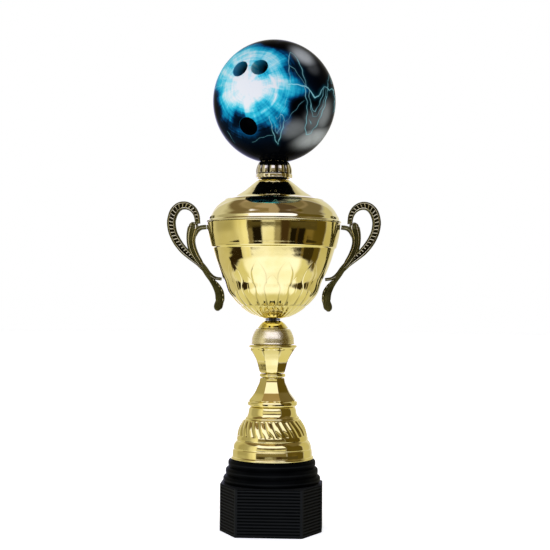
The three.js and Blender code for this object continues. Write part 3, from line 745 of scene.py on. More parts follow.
def cup():
    """Pressed cup: two tiers of petals rising from a small rosette, a ridge and a smooth band."""
    line = np.vstack([
        [[ROD_HOLE + 4.5, 159.1], [9.4, 159.1]],
        curve([[12.5, 160], [22.8, 166.4], [32.5, 176.7], [36.7, 186.7], [40.5, 194.2],
               [43.6, 202.0], [45.2, 207.0], [46.6, 211.7]]),
        [[46.9, 212.0], [47.7, 212.5], [48.0, 213.3]],
        curve([[48.2, 214.4], [48.9, 217], [50.2, 223], [50.8, 229.4]]),
        [[50.9, 230.2], [50.9, 231], [50.0, 231]],
    ])
    outer = soften(line, 0.35, 0.35)
    inner = resample([
        [49.7, 230.6], [49.2, 223], [46.8, 213.6], [44.8, 211.8], [44.5, 208], [42.5, 202.4],
        [39.0, 194.4], [35.3, 187.2], [31.1, 177.2], [22.0, 167.5], [12, 161.1], [ROD_HOLE + 4.5, 160.4],
    ], 2.0)

    def shape(angle, radius, height):
        upper, upper_groove, _ = petal_field(angle, radius, height, UPPER_PETALS)
        lower, lower_groove, lower_body = petal_field(angle, radius, height, LOWER_PETALS)
        fade = np.clip((height - ROSETTE_TOP) / 1.2, 0, 1)
        relief = (np.maximum(lower, 0) ** 4 + np.maximum(upper, 0) ** 4) ** 0.25 * fade
        groove = np.maximum(lower_groove, upper_groove * (1 - lower_body)) * fade
        wave = np.abs(np.cos(ROSETTE_LOBES * angle / 2))
        ring = np.clip((ROSETTE_TOP - height) / 1.0, 0, 1) * np.clip((height - 160.2) / 2.0, 0, 1)
        relief += ring * (0.6 * wave - 0.1)
        arch = bump_line(height - (ROSETTE_TOP + 0.9 * wave), 0.45)
        relief -= 0.15 * arch
        # Painted shade in the petals' grooves, along the rosette's arches and between its lobes.
        dark = np.clip(0.70 * groove + 0.5 * arch * wave + 0.25 * ring * bump_line(wave, 0.2), 0, 1)
        return radius + relief - 0.35 * groove, {"groove": dark}

    mesh = turned_mesh("cup_shell", outer, inner, 960, shape)
    return add_piece("cup_shell", mesh, GOLD, TROPHY, ["cup_bowl"], 60)


# ---- handles -----------------------------------------------------------------------------------

BAND_STEP = 0.3
# Stations along the middle of each band: x, z and half width.
LOOP = [
    [57.9, 230.6, 1.9], [58.9, 237.2, 2.2], [61.9, 242, 2.6], [66.7, 244.5, 3], [71.9, 243.9, 3.2],
    [75.9, 240, 3.4], [77.9, 234.2, 3.3], [78.05, 229.5, 3.3], [76.7, 223.3, 3.2], [73.2, 216.5, 3.2],
    [68.3, 210.3, 3], [63, 205.5, 2.6], [58.3, 201.3, 2], [54.4, 197.4, 1.4],
]
LEAF = [
    [54.2, 198.4, 1.7], [56.6, 201.9, 2.5], [59.3, 206.0, 2.9], [62.0, 212.1, 3.2], [63.0, 218, 3.3],
    [62.5, 223.3, 3.8], [61.3, 228, 4.1], [61.6, 230.6, 2.9], [61.8, 232.0, 0.8],
]
UPPER_ARM = [[60.6, 222.0, 1.9], [58.6, 225.6, 2.0], [55.6, 227.6, 1.8], [51.4, 228.2, 1.7]]
LOWER_ARM = [
    [58.8, 203.4, 2.6], [56.8, 201, 2.6], [52.5, 196.4, 2.3], [48.6, 192.1, 1.7], [44.4, 189.4, 1.3],
    [39.4, 188.6, 1.2],
]
TAIL = [
    [54.6, 198.0, 1.2], [52.6, 195.2, 1.5], [49.9, 191.4, 1.7], [46.9, 187.6, 1.9], [43.4, 183.2, 2.8],
    [41.0, 178.4, 3.4], [40.4, 173.6, 3.4], [40.7, 171.4, 3.1], [41.6, 168.2, 3.3], [42.0, 166.0, 2.7],
    [41.9, 164.3, 0.8],
]


def band_points(stations, side, thickness, relief, across):
    """A closed band in the XZ plane. relief(u, s, length) gives, for the place u across the band and
    the distance s along it, the share of the thickness and how rubbed the surface is."""
    middle = resample(curve(stations, 16), BAND_STEP)
    heading = np.gradient(middle[:, :2], axis=0)
    heading /= np.linalg.norm(heading, axis=1)[:, None]
    normal = np.c_[-heading[:, 1], heading[:, 0]]
    distance = np.r_[0, np.cumsum(np.linalg.norm(np.diff(middle[:, :2], axis=0), axis=1))]
    u = np.sin(np.linspace(-math.pi / 2, math.pi / 2, across))
    grid_u, grid_s = np.meshgrid(u, distance)
    share, rubbed = relief(grid_u, grid_s, distance[-1])
    rounded = (1 - np.abs(grid_u) ** 3.5) ** (1 / 3.5)
    half = thickness / 2 * (0.25 + 0.75 * rounded) * share
    half *= np.clip(middle[:, 2:] / 1.4, 0.25, 1)
    flat = middle[:, None, :2] + normal[:, None, :] * (grid_u * middle[:, 2:])[..., None]
    front = np.stack([side * flat[..., 0], -half, flat[..., 1]], axis=-1)
    back = np.stack([side * flat[..., 0], half, flat[..., 1]], axis=-1)
    loop = np.concatenate([front, back[:, ::-1]], axis=1)
    marks = np.concatenate([rubbed, rubbed[:, ::-1]], axis=1)
    size = loop.shape[:2]
    faces = ring_faces(*size) + ring_caps(*size)
    if side < 0:
        faces = [face[::-1] for face in faces]
    return loop.reshape(-1, 3), faces, marks.ravel()


def ladder(u, s, length):
    """Two rails with slanted rungs between them; the rungs shrink to beads near the waist."""
    pitch = 2.75
    wide = 0.52
    rung = np.abs((s / pitch + 0.28 * u) % 1 - 0.5) * 2
    fade = np.clip((length * 0.93 - s) / 6, 0, 1) * np.clip((s - 1.5) / 3, 0, 1)
    bead = np.clip((s - 0.62 * length) / (0.1 * length), 0, 1)
    reach = wide * (1 - 0.45 * bead)
    ridge = bump_line(rung, 0.33) * (np.abs(u + 0.2 * bead) < reach) * fade
    trough = np.clip((wide - np.abs(u)) / 0.06, 0, 1)
    lip = bump_line(np.abs(u) - wide - 0.06, 0.06)
    share = 1 - 0.32 * trough * np.clip(s / 2, 0, 1) + 0.24 * ridge * trough + 0.05 * lip
    rubbed = np.clip(ridge * trough + 0.95 * lip, 0, 1)
    return share, rubbed - 0.9 * trough * (1 - ridge) * fade


def strands(u, s, length):
    """Three rounded strands with bright creases between them."""
    crease = bump_line(np.abs(u) - 0.34, 0.07)
    edge_line = bump_line(np.abs(u) - 0.90, 0.06)
    swell = 0.10 * np.cos(2.79 * math.pi * u)
    tip = np.clip((length - s) / 5, 0.55, 1)
    share = (0.90 - swell - 0.14 * crease + 0.06 * edge_line) * tip
    grow = np.clip((s - 0.30 * length) / (0.3 * length), 0, 1)
    rubbed = np.clip(0.95 * bump_line(np.abs(u) - 0.48, 0.11) + 0.6 * edge_line * grow, 0, 1)
    return share, rubbed - 0.7 * crease


def smooth_arm(u, s, length):
    """Plain arm with one bright line along it."""
    line = bump_line(u - 0.15, 0.12)
    return 0.92 + 0.08 * line, 0.75 * line


def scaled_tail(u, s, length):
    """Tail leaf: a row of beads along the inner edge, a spine line and a faceted tip."""
    pitch = 3.1
    bead = np.abs(np.sin(math.pi * s / pitch)) ** 1.5 * bump_line(u + 0.72, 0.20)
    body = np.clip((s - 0.22 * length) / 4, 0, 1) * np.clip((0.84 * length - s) / 2, 0, 1)
    spine = bump_line(u - 0.25, 0.06)
    share = 0.86 + 0.16 * bead * body - 0.10 * bump_line(u + 0.42, 0.07) * body + 0.06 * spine
    rubbed = np.clip(0.9 * bump_line(bead - 0.95, 0.22) * body + 0.30 * spine, 0, 1)
    return share, rubbed


# The bands of a handle: stations, thickness, relief and points across.
BANDS = [
    (LOOP, 5.0, ladder, 44), (LEAF, 6.0, strands, 48), (UPPER_ARM, 4.6, smooth_arm, 24),
    (LOWER_ARM, 4.6, smooth_arm, 24), (TAIL, 6.0, scaled_tail, 40),
]


def handle(side_name, side):
    """Cast handle: open ladder loop, leaf of three strands, two arms and a scaled tail."""
    points, faces, marks, start = [], [], [], 0
    for stations, thickness, relief, across in BANDS:
        part, part_faces, part_marks = band_points(stations, side, thickness, relief, across)
        faces += [[i + start for i in face] for face in part_faces]
        start += len(part)
        points.append(part)
        marks.append(part_marks)
    name = f"handle_{side_name}_cast"
    mesh = make_mesh(name, np.vstack(points), faces, {"rubbed": np.concatenate(marks)})
    return add_piece(name, mesh, ANTIQUE, TROPHY, [f"handle_{side_name}"], 45)


# ---- lid group ---------------------------------------------------------------------------------

def lid():
    """Spun lid: rolled flange, round shoulder, ridge and a concave cone."""
    line = np.vstack([
        [[49.4, 231.3], [51.2, 231.3], [51.5, 231.7], [51.45, 232.2], [50.9, 232.7], [50.2, 232.9]],
        [[49.9, 233.6], [49.6, 235.2]],
        curve([[48.6, 236.9], [47, 239.8], [44.8, 242.8], [41.5, 245.9], [38.4, 248.1]]),
        [[37.9, 248.7], [37.3, 248.9]],
        curve([[36.6, 248.9], [31.9, 250.4], [27.7, 252.7], [22.3, 256.1], [17.5, 259.9], [12.9, 263.5]]),
        [[9.6, 264.9], [STUD_HOLE + 3, 264.9]],
    ])
    outer = soften(line, 0.35, 0.3)
    inner = resample([
        [STUD_HOLE + 3, 263.9], [9.2, 263.9], [16.8, 259], [21.7, 255], [27.2, 251.6], [36.8, 247.4],
        [41, 244.7], [44, 241.8], [47.6, 236.2], [49.0, 233.4],
    ], 2.0)
    mesh = turned_mesh("lid_shell", outer, inner, 288)
    return add_piece("lid_shell", mesh, LID_GOLD, LID_BODY, ["lid"], 60)


CROWN_LOBES = 12


def crown():
    """Lobed cup under the ball, on a scalloped lip."""
    lip_top = 268.9
    line = np.vstack([
        [[12.5, 266.4], [12.9, 265.4], [13.7, 265.4], [14.0, 266.2], [14.0, 268.1], [13.4, lip_top]],
        curve([[13.6, 269.4], [13.6, 271.7], [12.9, 274.6], [11.5, 277.4]]),
        [[10.9, 277.9]],
    ])
    outer = soften(line, 0.2, 0.2)
    seat = BALL_RADIUS + 0.3
    radii = np.array([10.4, 8, 5, STUD_HOLE])
    inner = np.vstack([
        np.c_[radii, BALL_CENTRE[2] - np.sqrt(seat ** 2 - radii ** 2)], [[STUD_HOLE, 267.1]],
    ])

    def shape(angle, radius, height):
        wave = np.abs(np.cos(CROWN_LOBES * angle / 2))
        above = np.clip((height - lip_top) / 0.8, 0, 1)
        lobe = 2.1 * (1 - np.sqrt(wave)) * above + 0.5 * (1 - wave) * (1 - above)
        # Painted shade between the lobes and along the lip.
        dark = bump_line(wave, 0.75) * above + bump_line(height - lip_top, 0.32)
        return radius - lobe, {"groove": np.clip(dark, 0, 1)}

    mesh = turned_mesh("crown_cast", outer, inner, 384, shape)
    return add_piece("crown_cast", mesh, CROWN_GOLD, LID_BODY, ["crown"], 50)


# Finger holes: azimuth from the front, elevation, radius, how black the painted shade inside them is, and
# how far painted light on their left wall lets the pale resin reach in.
FINGER_HOLES = [(-33.4, 23.4, 6.3, 0.0, 0.15), (-11.9, 23.4, 6.3, 0.0, 1.0), (-25.7, -31.5, 7.1, 1.0, 0.0)]
FINGER_DEPTH = 11
INSERT_HOLE = 4.9
INSERT_DEPTH = 14.5
MOUTH_FLARE = 0.5
FLOOR_BEVEL = 1.5


def hole_axis(azimuth, elevation):
    """Direction out of the ball."""
    a, e = math.radians(azimuth), math.radians(elevation)
    return np.array([math.cos(e) * math.sin(a), -math.cos(e) * math.cos(a), math.sin(e)])


def hole_cutter(axis, radius, depth):
    """Drill shape with a bevelled floor and a flared mouth, along axis from the ball's centre."""
    mouth = math.sqrt(BALL_RADIUS ** 2 - (radius + MOUTH_FLARE) ** 2)
    floor_height, outside, tip = BALL_RADIUS - depth, BALL_RADIUS + 2, 0.3
    bend = np.radians(np.linspace(0, 90, 9))
    flare = np.c_[radius + MOUTH_FLARE * (1 - np.cos(bend)), mouth - MOUTH_FLARE * (1 - np.sin(bend))]
    line = np.vstack([
        [[tip, floor_height], [radius - FLOOR_BEVEL, floor_height], [radius, floor_height + FLOOR_BEVEL]],
        flare,
        [[radius + MOUTH_FLARE + 0.6, outside], [tip, outside]],
    ])
    segments = 72
    angle = np.arange(segments) * TAU / segments
    rings = [np.c_[r * np.cos(angle), r * np.sin(angle), np.full(segments, z)] for r, z in line]
    faces = ring_faces(len(line), segments) + ring_caps(len(line), segments)
    turn_to = np.array(Vector((0, 0, 1)).rotation_difference(Vector(axis)).to_matrix())
    mesh = make_mesh("cutter", np.vstack(rings) @ turn_to.T + BALL_CENTRE, faces)
    cutter = bpy.data.objects.new("cutter", mesh)
    bpy.context.scene.collection.objects.link(cutter)
    return cutter


def sphere():
    """Object with the ball's plain round surface."""
    around, up = 480, 240
    theta = np.arange(around) * TAU / around
    phi = np.linspace(-math.pi / 2, math.pi / 2, up + 1)[1:-1]
    rings = np.stack([
        np.cos(phi)[:, None] * np.sin(theta), -np.cos(phi)[:, None] * np.cos(theta),
        np.repeat(np.sin(phi)[:, None], around, axis=1),
    ], axis=-1).reshape(-1, 3)
    points = np.vstack([rings, [[0, 0, -1], [0, 0, 1]]]) * BALL_RADIUS + BALL_CENTRE
    south, north, last = len(rings), len(rings) + 1, len(rings) - around
    faces = ring_faces(len(phi), around)
    for j in range(around):
        k = (j + 1) % around
        faces.append((south, k, j))
        faces.append((north, last + j, last + k))
    made = bpy.data.objects.new("ball_work", make_mesh("ball_work", points, faces))
    bpy.context.scene.collection.objects.link(made)
    return made


def ball_mesh():
    """Sphere with three finger holes and the bore for its threaded insert."""
    whole = sphere()
    cutters = [hole_cutter(hole_axis(azimuth, elevation), radius, FINGER_DEPTH)
               for azimuth, elevation, radius, _, _ in FINGER_HOLES]
    cutters.append(hole_cutter(np.array([0.0, 0.0, -1.0]), INSERT_HOLE, INSERT_DEPTH))
    for cutter in cutters:
        modifier = whole.modifiers.new("cut", "BOOLEAN")
        modifier.operation = "DIFFERENCE"
        modifier.solver = "EXACT"
        modifier.object = cutter
    graph = bpy.context.evaluated_depsgraph_get()
    mesh = bpy.data.meshes.new_from_object(whole.evaluated_get(graph))
    for spare in [whole, *cutters]:
        bpy.data.objects.remove(spare)
    return mesh


# Pale veins: points, half width and strength.
VEINS = [
    ([(0.21, 0.26), (0.27, 0.28), (0.39, 0.26), (0.47, 0.25), (0.53, 0.21), (0.59, 0.13), (0.64, 0.07),
      (0.69, 0.09), (0.74, 0.18), (0.78, 0.235), (0.83, 0.23), (0.87, 0.195), (0.915, 0.214),
      (0.95, 0.18), (0.974, 0.06), (0.966, -0.15)], 0.0066, 0.90),
    ([(0.84, 0.235), (0.871, 0.435), (0.90, 0.38), (0.925, 0.29)], 0.0047, 0.63),
    ([(0.257, 0.295), (0.239, 0.354), (0.217, 0.589), (0.225, 0.66), (0.217, 0.714), (0.247, 0.772),
      (0.313, 0.721), (0.386, 0.618), (0.43, 0.486), (0.474, 0.325), (0.511, 0.207)], 0.0047, 0.59),
    ([(0.217, 0.575), (0.313, 0.50), (0.40, 0.383), (0.46, 0.295), (0.50, 0.24)], 0.0031, 0.45),
    ([(0.474, 0.23), (0.489, 0.09), (0.511, 0.0), (0.511, -0.2), (0.489, -0.41), (0.504, -0.513),
      (0.577, -0.483), (0.65, -0.395), (0.724, -0.248), (0.797, -0.057), (0.841, 0.163), (0.85, 0.21)],
     0.0043, 0.68),
    ([(0.54, 0.19), (0.54, 0.104), (0.562, -0.013), (0.606, -0.13), (0.643, -0.142), (0.702, -0.043),
      (0.76, 0.119), (0.785, 0.22)], 0.0039, 0.59),
    ([(0.56, 0.05), (0.575, -0.12), (0.606, -0.226), (0.665, -0.219), (0.739, -0.101), (0.805, 0.104),
      (0.82, 0.21)], 0.0035, 0.50),
    ([(0.55, -0.27), (0.575, -0.345), (0.57, -0.30)], 0.0039, 0.45),
    ([(-0.08, -0.22), (-0.04, -0.366), (-0.018, -0.468), (0.019, -0.586), (0.063, -0.667),
      (0.085, -0.571), (0.122, -0.439), (0.159, -0.292), (0.12, -0.20), (0.093, -0.189)], 0.0047, 0.68),
    ([(0.0, -0.33), (0.025, -0.45), (0.048, -0.498), (0.093, -0.395), (0.095, -0.20)], 0.0031, 0.45),
    ([(0.019, -0.233), (0.041, -0.27), (0.093, -0.189), (0.16, -0.06), (0.19, 0.06)], 0.0031, 0.41),
    ([(0.166, -0.322), (0.30, -0.15), (0.46, 0.031)], 0.0027, 0.32),
    ([(-0.348, -0.637), (-0.2, -0.557), (-0.03, -0.51)], 0.0027, 0.32),
    ([(-0.745, -0.468), (-0.69, -0.57), (-0.627, -0.66)], 0.0027, 0.32),
    ([(-0.975, 0.19), (-0.93, 0.225), (-0.86, 0.25), (-0.79, 0.235)], 0.0062, 0.63),
]
# A soft line in the burst, in the same way.
RIPPLE = ([(-0.08, 0.41), (0.0, 0.30), (0.026, 0.20), (0.01, 0.05), (-0.06, -0.07), (-0.20, -0.17)],
          0.020, 0.16)
VEIN_SHAKE = 0.006
VEIN_SURROUND = 0.022
# Soft patches of light and dark: place, half width and height, tilt in degrees and strength.
GLOWS = [
    (-0.40, 0.24, 0.66, 0.64, 0, 0.76), (-0.42, 0.17, 0.28, 0.24, 0, 0.30),
    (-0.44, -0.08, 0.10, 0.20, 0, 0.15), (-0.40, 0.62, 0.13, 0.20, 0, 0.16),
    (0.10, 0.24, 0.26, 0.32, 0, 0.23), (-0.82, 0.34, 0.20, 0.36, -15, 0.22),
    (-0.55, 0.76, 0.36, 0.18, 20, 0.26), (0.05, 0.70, 0.20, 0.16, -30, 0.20),
    (0.18, -0.14, 0.12, 0.20, 10, 0.24), (-0.70, -0.06, 0.16, 0.16, 0, 0.12),
    (0.36, 0.17, 0.22, 0.12, -8, 0.26), (0.37, -0.07, 0.20, 0.15, 15, -0.34),
    (0.02, 0.93, 0.24, 0.10, -8, -0.45), (-0.20, -0.47, 0.14, 0.12, 0, -0.12),
    (-0.97, -0.02, 0.12, 0.26, 8, -0.40), (-0.17, 0.0, 0.10, 0.09, 0, -0.16),
    (-0.20, 0.76, 0.26, 0.11, -6, 0.26), (0.10, -0.42, 0.20, 0.16, 0, 0.18),
    (-0.02, 0.50, 0.12, 0.24, 10, 0.16), (-0.74, 0.03, 0.13, 0.12, 0, 0.20),
    (-0.05, -0.30, 0.18, 0.14, 0, 0.14), (-0.74, -0.25, 0.12, 0.10, 0, 0.16),
    (-0.25, -0.24, 0.10, 0.10, 0, 0.14), (-0.52, -0.27, 0.14, 0.13, 0, -0.34),
    (-0.42, -0.50, 0.34, 0.12, 0, 0.16),
]
# Painted grey reflections of softboxes on the ball: place, half width and height, tilt in degrees and
# strength.
SOFTBOX_GLINTS = [
    (0.44, 0.72, 0.20, 0.095, -36, 1.0), (0.60, -0.57, 0.28, 0.13, 20, 1.0),
    (0.79, -0.20, 0.10, 0.22, -16, 0.62), (0.32, -0.42, 0.22, 0.14, 12, 0.40),
    (0.62, -0.32, 0.16, 0.18, 0, 0.32), (0.60, 0.54, 0.12, 0.08, -50, 0.14),
]


def patch(spots, x, z, wide, tall, tilt, power):
    """1 in the middle of a tilted oval and 0 well outside it."""
    c, s = math.cos(math.radians(tilt)), math.sin(math.radians(tilt))
    dx, dz = spots[:, 0] - x, spots[:, 1] - z
    return np.exp(-np.hypot((c * dx + s * dz) / wide, (c * dz - s * dx) / tall) ** power)


def line_distance(spots, line):
    """Distance of each 2-D spot to a polyline."""
    best = np.full(len(spots), 9.0)
    line = np.asarray(line, float)
    for a, b in zip(line[:-1], line[1:]):
        run = b - a
        t = np.clip(((spots - a) @ run) / (run @ run), 0, 1)
        best = np.minimum(best, np.linalg.norm(spots - a - t[:, None] * run, axis=1))
    return best


def layout(points):
    """Each point's place in the marbling's plane, and how far it lies towards the front (1 to -1)."""
    unit = (points - BALL_CENTRE) / BALL_RADIUS
    return np.c_[unit @ RIGHTWARD, unit @ UPWARD], unit @ TOWARD


def burst_glow(spots, front):
    """How light the burst is, dimmer on the back."""
    glow = np.zeros(len(spots))
    for x, z, wide, tall, tilt, strength in GLOWS:
        glow += strength * patch(spots, x, z, wide, tall, tilt, 2.6)
    glow = np.minimum(glow, 1.0) * (0.62 + 0.38 * front)
    line, width, strength = RIPPLE
    return glow + strength * bump_line(line_distance(spots, line), width) * front


def vein_lines(spots, depth):
    """(the veins, a halo around them). They are a little shaken, finer where the ball turns away, and
    fade out around its rim."""
    x, z = spots.T
    shaken = spots + VEIN_SHAKE * np.sin(np.c_[39 * z + 9 * x, 43 * x + 7 * z])
    finer = np.clip(1.5 * np.abs(depth), 0.45, 1)
    vein, halo = np.zeros(len(spots)), np.zeros(len(spots))
    for line, width, strength in VEINS:
        distance = line_distance(shaken, line)
        vein = np.maximum(vein, strength * bump_line(distance, width * finer))
        halo = np.maximum(halo, 0.22 * strength * bump_line(distance, 5 * width))
    off_rim = np.clip((np.abs(depth + 0.14) - 0.06) / 0.12, 0, 1)
    return vein * off_rim * np.where(depth < 0, 0.5, 1), halo


def glint_patches(spots):
    """How much grey painted reflection of softboxes lies over the marbling."""
    glint = np.zeros(len(spots))
    for x, z, wide, tall, tilt, strength in SOFTBOX_GLINTS:
        glint = np.maximum(glint, strength * patch(spots, x, z, wide, tall, tilt, 3.5))
    return glint


def finger_pockets(unit, spots):
    """(where the inside of the finger holes is, how black it is there): painted shade, darker towards the
    right and the bottom of each hole, with painted light on its left wall where the pale resin shows.
    """
    pocket, dark = np.zeros(len(unit)), np.zeros(len(unit))
    for azimuth, elevation, radius, black, pale in FINGER_HOLES:
        axis = hole_axis(azimuth, elevation)
        along = unit @ axis * BALL_RADIUS
        away = np.linalg.norm(unit * BALL_RADIUS - along[:, None] * axis, axis=1)
        inside = np.clip((radius + 0.35 - away) / 0.3, 0, 1) * (along > 0.3 * BALL_RADIUS)
        right = (spots[:, 0] - axis @ RIGHTWARD) * BALL_RADIUS / radius
        down = (axis @ UPWARD - spots[:, 1]) * BALL_RADIUS / radius
        # Painted light on the left wall lets the marbling show; painted shade grows towards the right and
        # the bottom.
        lit = pale * np.clip((0.10 - right) / 0.8, 0, 1)
        shade = np.clip(0.40 + 0.90 * right + 0.3 * down, 0, 1)
        pocket = np.maximum(pocket, inside * (1 - lit))
        dark = np.maximum(dark, inside * np.maximum(black, shade))
    return pocket, dark


def marbling(points):
    """The resin's attributes, with its painted reflections and the painted shade in the finger holes, for
    points in millimetres. The back mirrors the front.
    """
    unit = (points - BALL_CENTRE) / BALL_RADIUS
    spots, depth = layout(points)
    front = np.clip((depth + 0.55) / 0.6, 0, 1)
    vein, halo = vein_lines(spots, depth)
    pocket, dark = finger_pockets(unit, spots)
    return {
        "glow": burst_glow(spots, front), "vein": vein, "halo": halo * front,
        "glint": glint_patches(spots) * front, "pocket": pocket, "dark": dark,
    }


def refine_near_veins(mesh):
    """Splits the faces under the veins, so that lines this thin are carried by the mesh."""
    builder = bmesh.new()
    builder.from_mesh(mesh)
    points = np.array([vertex.co[:] for vertex in builder.verts]) / MM
    spots = layout(points)[0]
    near = np.zeros(len(points), bool)
    for line, _, _ in VEINS:
        near |= line_distance(spots, line) < VEIN_SURROUND
    near &= np.abs(np.linalg.norm(points - BALL_CENTRE, axis=1) - BALL_RADIUS) < 0.1
    edges = [edge for edge in builder.edges if near[edge.verts[0].index] and near[edge.verts[1].index]]
    bmesh.ops.subdivide_edges(builder, edges=edges, cuts=3, use_grid_fill=True)
    builder.to_mesh(mesh)
    builder.free()


def ball():
    """Marbled ball with its finger holes."""
    mesh = ball_mesh()
    refine_near_veins(mesh)
    points = np.zeros(len(mesh.vertices) * 3)
    mesh.vertices.foreach_get("co", points)
    store(mesh, marbling(points.reshape(-1, 3) / MM))
    mesh.name = "ball_marbled"
    return add_piece("ball_marbled", mesh, RESIN, LID_BODY, ["ball"], 50)


# ---- carried-over CAD nodes --------------------------------------------------------------------

def paint_nodes():
    """Gives each CAD node that stays its procedural material."""
    fasteners = ["base_nut", "base_washer", "tie_rod", "cup_inner_washer", "cup_nut", "finial_stud",
                 "finial_washer", "finial_nut"]
    fasteners += [f"handle_{kind}_{level}_{side}" for kind in ("washer", "nut")
                  for level in ("upper", "lower") for side in ("left", "right")]
    chosen = {name: STEEL for name in fasteners}
    chosen.update({
        "base_weight": IRON, "base_pad": RUBBER, "cup_washer": RUBBER, "crown_washer": RUBBER,
        "lid_locating_ring": WHITE, "ball_insert": BRASS,
    })
    for name, material in chosen.items():
        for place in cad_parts[name].material_slots:
            place.material = material


# ---- studio ------------------------------------------------------------------------------------

WHITE_LIGHT = (1.38, 1.38, 2.10)
FLOOR_LIGHT = (1.28, 1.30, 1.75)
OLIVE = (0.118, 0.084, 0.018)
BROWN = (0.062, 0.036, 0.018)
BLACK = (0.012, 0.008, 0.004)

# Panels around the object: azimuth range (0 is the camera's side, 90 the right), elevation range,
# colour and softness, in degrees. Later ones lie over earlier ones.
PANELS = [
    # table
    (-180, 180, -91, -29, (0.84, 0.80, 0.62), 3),
    (-66, 66, -91, -29, FLOOR_LIGHT, 6),
    (-180, 180, -91, -60, (0.80, 0.76, 0.62), 13),
    # back wall
    (-180, -150, 14, 62, (0.84, 0.80, 0.68), 6),
    (150, 180, -29, 62, (0.80, 0.76, 0.64), 6),
    (-180, -150, 36, 62, (0.56, 0.50, 0.38), 6),
    (150, 180, 36, 62, (0.50, 0.44, 0.32), 6),
    # left wall
    (-150, -58, -29, 62, (0.68, 0.63, 0.50), 5),
    (-114, -70, -8, 40, (0.46, 0.42, 0.31), 8),
    (-148, -58, 41, 62, (0.20, 0.145, 0.08), 4),
    (-64, -43, -29, 38, (0.88, 0.82, 0.66), 7),
    (-54, -43, -29, 38, (1.04, 0.98, 0.80), 4),
    # right wall
    (104, 152, -29, 38, (0.64, 0.58, 0.38), 6),
    (46, 106, -29, 60, OLIVE, 3),
    (62, 78, -28, 2, (0.21, 0.15, 0.05), 4),
    (75, 150, 35, 62, (0.18, 0.14, 0.08), 4),
    # front: a dim room under a large softbox, with a thin bright strip
    (-43, 46, -28, 22, (0.23, 0.185, 0.11), 1.5),
    (-20, 46, 14, 23, (0.13, 0.10, 0.06), 2),
    (-43, 46, 23, 54.5, WHITE_LIGHT, 1.8),
    (-43, 44, 8.5, 13.5, (0.85, 0.80, 0.70), 1.5),
    (-42, 83, -8, -2, (0.09, 0.068, 0.027), 2),
    (-34, -17, -28, -6, BLACK, 2),
    (-17, 6, -28, -6, (1.02, 0.98, 1.00), 2.5),
    (5, 16, -28, -6, (0.40, 0.35, 0.30), 4),
    (16, 31, -28, -2, BROWN, 3),
    (33, 60, -28, -7, BLACK, 1.5),
    (44, 48, -28, -6, (0.060, 0.036, 0.012), 1),
    # ceiling
    (-180, 180, 56, 91, (0.44, 0.33, 0.24), 3),
    (18, 75, 56, 91, (0.10, 0.064, 0.038), 4),
    (75, 150, 57, 91, (0.19, 0.145, 0.08), 4),
    (-130, -60, 56, 78, (0.31, 0.24, 0.15), 6),
    (-64, -10, 56, 64, (0.27, 0.19, 0.10), 2.5),
    # dark patches low at the sides, where the cup's bowl mirrors its handles
    (-99, -63, -29.5, -20.5, (0.030, 0.018, 0.008), 1.2),
    (66, 89, -29.5, -19.5, (0.040, 0.028, 0.010), 1.2),
]


def studio_light():
    """White room for the camera; a tent with dark gaps and panels for everything that it lights."""
    world = bpy.data.worlds.new("studio")
    bpy.context.scene.world = world
    t = Tree(world)
    direction = t.add("ShaderNodeTexCoord").outputs["Generated"]
    parts = t.add("ShaderNodeSeparateXYZ", {0: direction}).outputs
    back = t.math("MULTIPLY", parts[1], -1.0)
    azimuth = t.math("MULTIPLY", t.math("ARCTAN2", parts[0], back), 360 / TAU)
    elevation = t.math("MULTIPLY", t.math("ARCSINE", parts[2]), 360 / TAU)
    colour = WHITE_LIGHT
    for left, right, low, high, tint, soft in PANELS:
        share = 1.0
        limits = [(azimuth, left, 1), (azimuth, right, -1)] if right - left < 360 else []
        limits += [(elevation, low, 1), (elevation, high, -1)]
        for value, limit, sign in limits:
            ends = (limit - soft, limit + soft)
            step = t.fade(value, *ends) if sign > 0 else t.fade(value, *ends, 1.0, 0.0)
            share = step if share == 1.0 else t.math("MULTIPLY", share, step)
        colour = t.blend(share, colour, tint)
    seen = t.add("ShaderNodeLightPath").outputs["Is Camera Ray"]
    colour = t.blend(seen, colour, (1.0, 1.0, 1.0))
    background = t.add("ShaderNodeBackground", {"Color": colour, "Strength": 1.0})
    output = t.add("ShaderNodeOutputWorld")
    t.tree.links.new(background.outputs[0], output.inputs["Surface"])


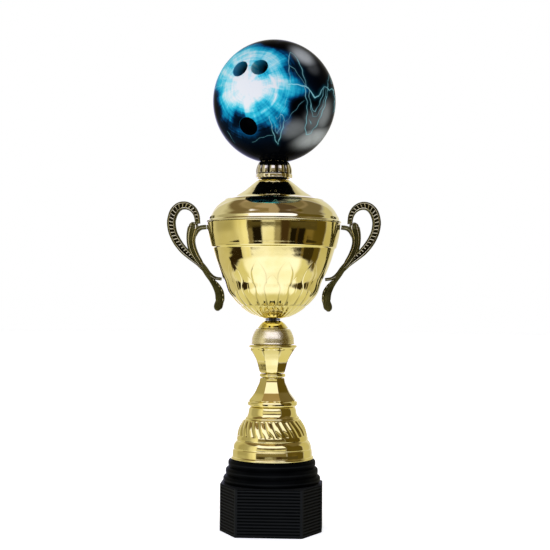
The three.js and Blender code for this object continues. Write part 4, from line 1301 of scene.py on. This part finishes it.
def area_light(name, place, target, size, power):
    """Rectangular softbox, in metres and watts; mirrors don't show it."""
    lamp = bpy.data.lights.new(name, "AREA")
    lamp.shape = "RECTANGLE"
    lamp.size, lamp.size_y = size
    lamp.energy = power
    holder = bpy.data.objects.new(name, lamp)
    holder.location = place
    aim = Vector(target) - Vector(place)
    holder.rotation_euler = aim.to_track_quat("-Z", "Y").to_euler()
    holder.visible_glossy = False
    bpy.context.scene.collection.objects.link(holder)


def floor():
    """Plain pale table top; mirrors don't show it, only the studio around it."""
    material, t = new_material("pale_table")
    mottle = t.fade(t.noise(t.place(), 6, 3.0), 0.3, 0.7)
    colour = t.blend(mottle, (0.90, 0.90, 0.90), (0.93, 0.93, 0.93))
    t.surface(Base_Color=colour, Roughness=0.9, Emission_Color=(0.94, 0.98, 0.98), Emission_Strength=0.58)
    reach, rings, segments = 6.0 / MM, 24, 96
    radii = reach * (np.arange(rings, 0, -1) / rings) ** 2
    angle = np.arange(segments) * TAU / segments
    points = [np.c_[r * np.sin(angle), -r * np.cos(angle), np.zeros(segments)] for r in radii]
    faces = ring_faces(rings, segments) + ring_caps(rings, segments)[1:]
    mesh = make_mesh("table", np.vstack(points), faces)
    mesh.materials.append(material)
    table = bpy.data.objects.new("table", mesh)
    bpy.context.scene.collection.objects.link(table)
    table.visible_glossy = False


def camera():
    """The main view's camera."""
    data = bpy.data.cameras.new("camera")
    data.lens = CAMERA_LENS
    data.sensor_width = 36
    data.clip_start, data.clip_end = 0.05, 50
    eye = bpy.data.objects.new("camera", data)
    bpy.context.scene.collection.objects.link(eye)
    place = Matrix.Translation(Vector(CAMERA_PLACE) * MM)
    aim = Vector(CAMERA_TARGET - CAMERA_PLACE).to_track_quat("-Z", "Y").to_matrix().to_4x4()
    eye.matrix_world = place @ aim @ Matrix.Rotation(CAMERA_ROLL, 4, "Z")
    bpy.context.scene.camera = eye


# ---- everything together -----------------------------------------------------------------------

camera()
studio_light()
area_light("key_softbox", (-0.9, -1.1, 1.3), (0, 0, 0.2), (0.9, 0.9), 9)
area_light("rim_softbox", (0.9, 0.7, 1.1), (0, 0, 0.3), (0.35, 0.35), 6)
floor()

plinth_block()
plinth_steps()
foot()
riser_lower()
riser_bead()
riser_upper()
dome()
collar()
cup()
handle("left", -1)
handle("right", 1)
lid()
crown()
ball()
paint_nodes()

bpy.context.scene.view_settings.view_transform = "Standard"
bpy.context.scene.view_settings.look = "None"
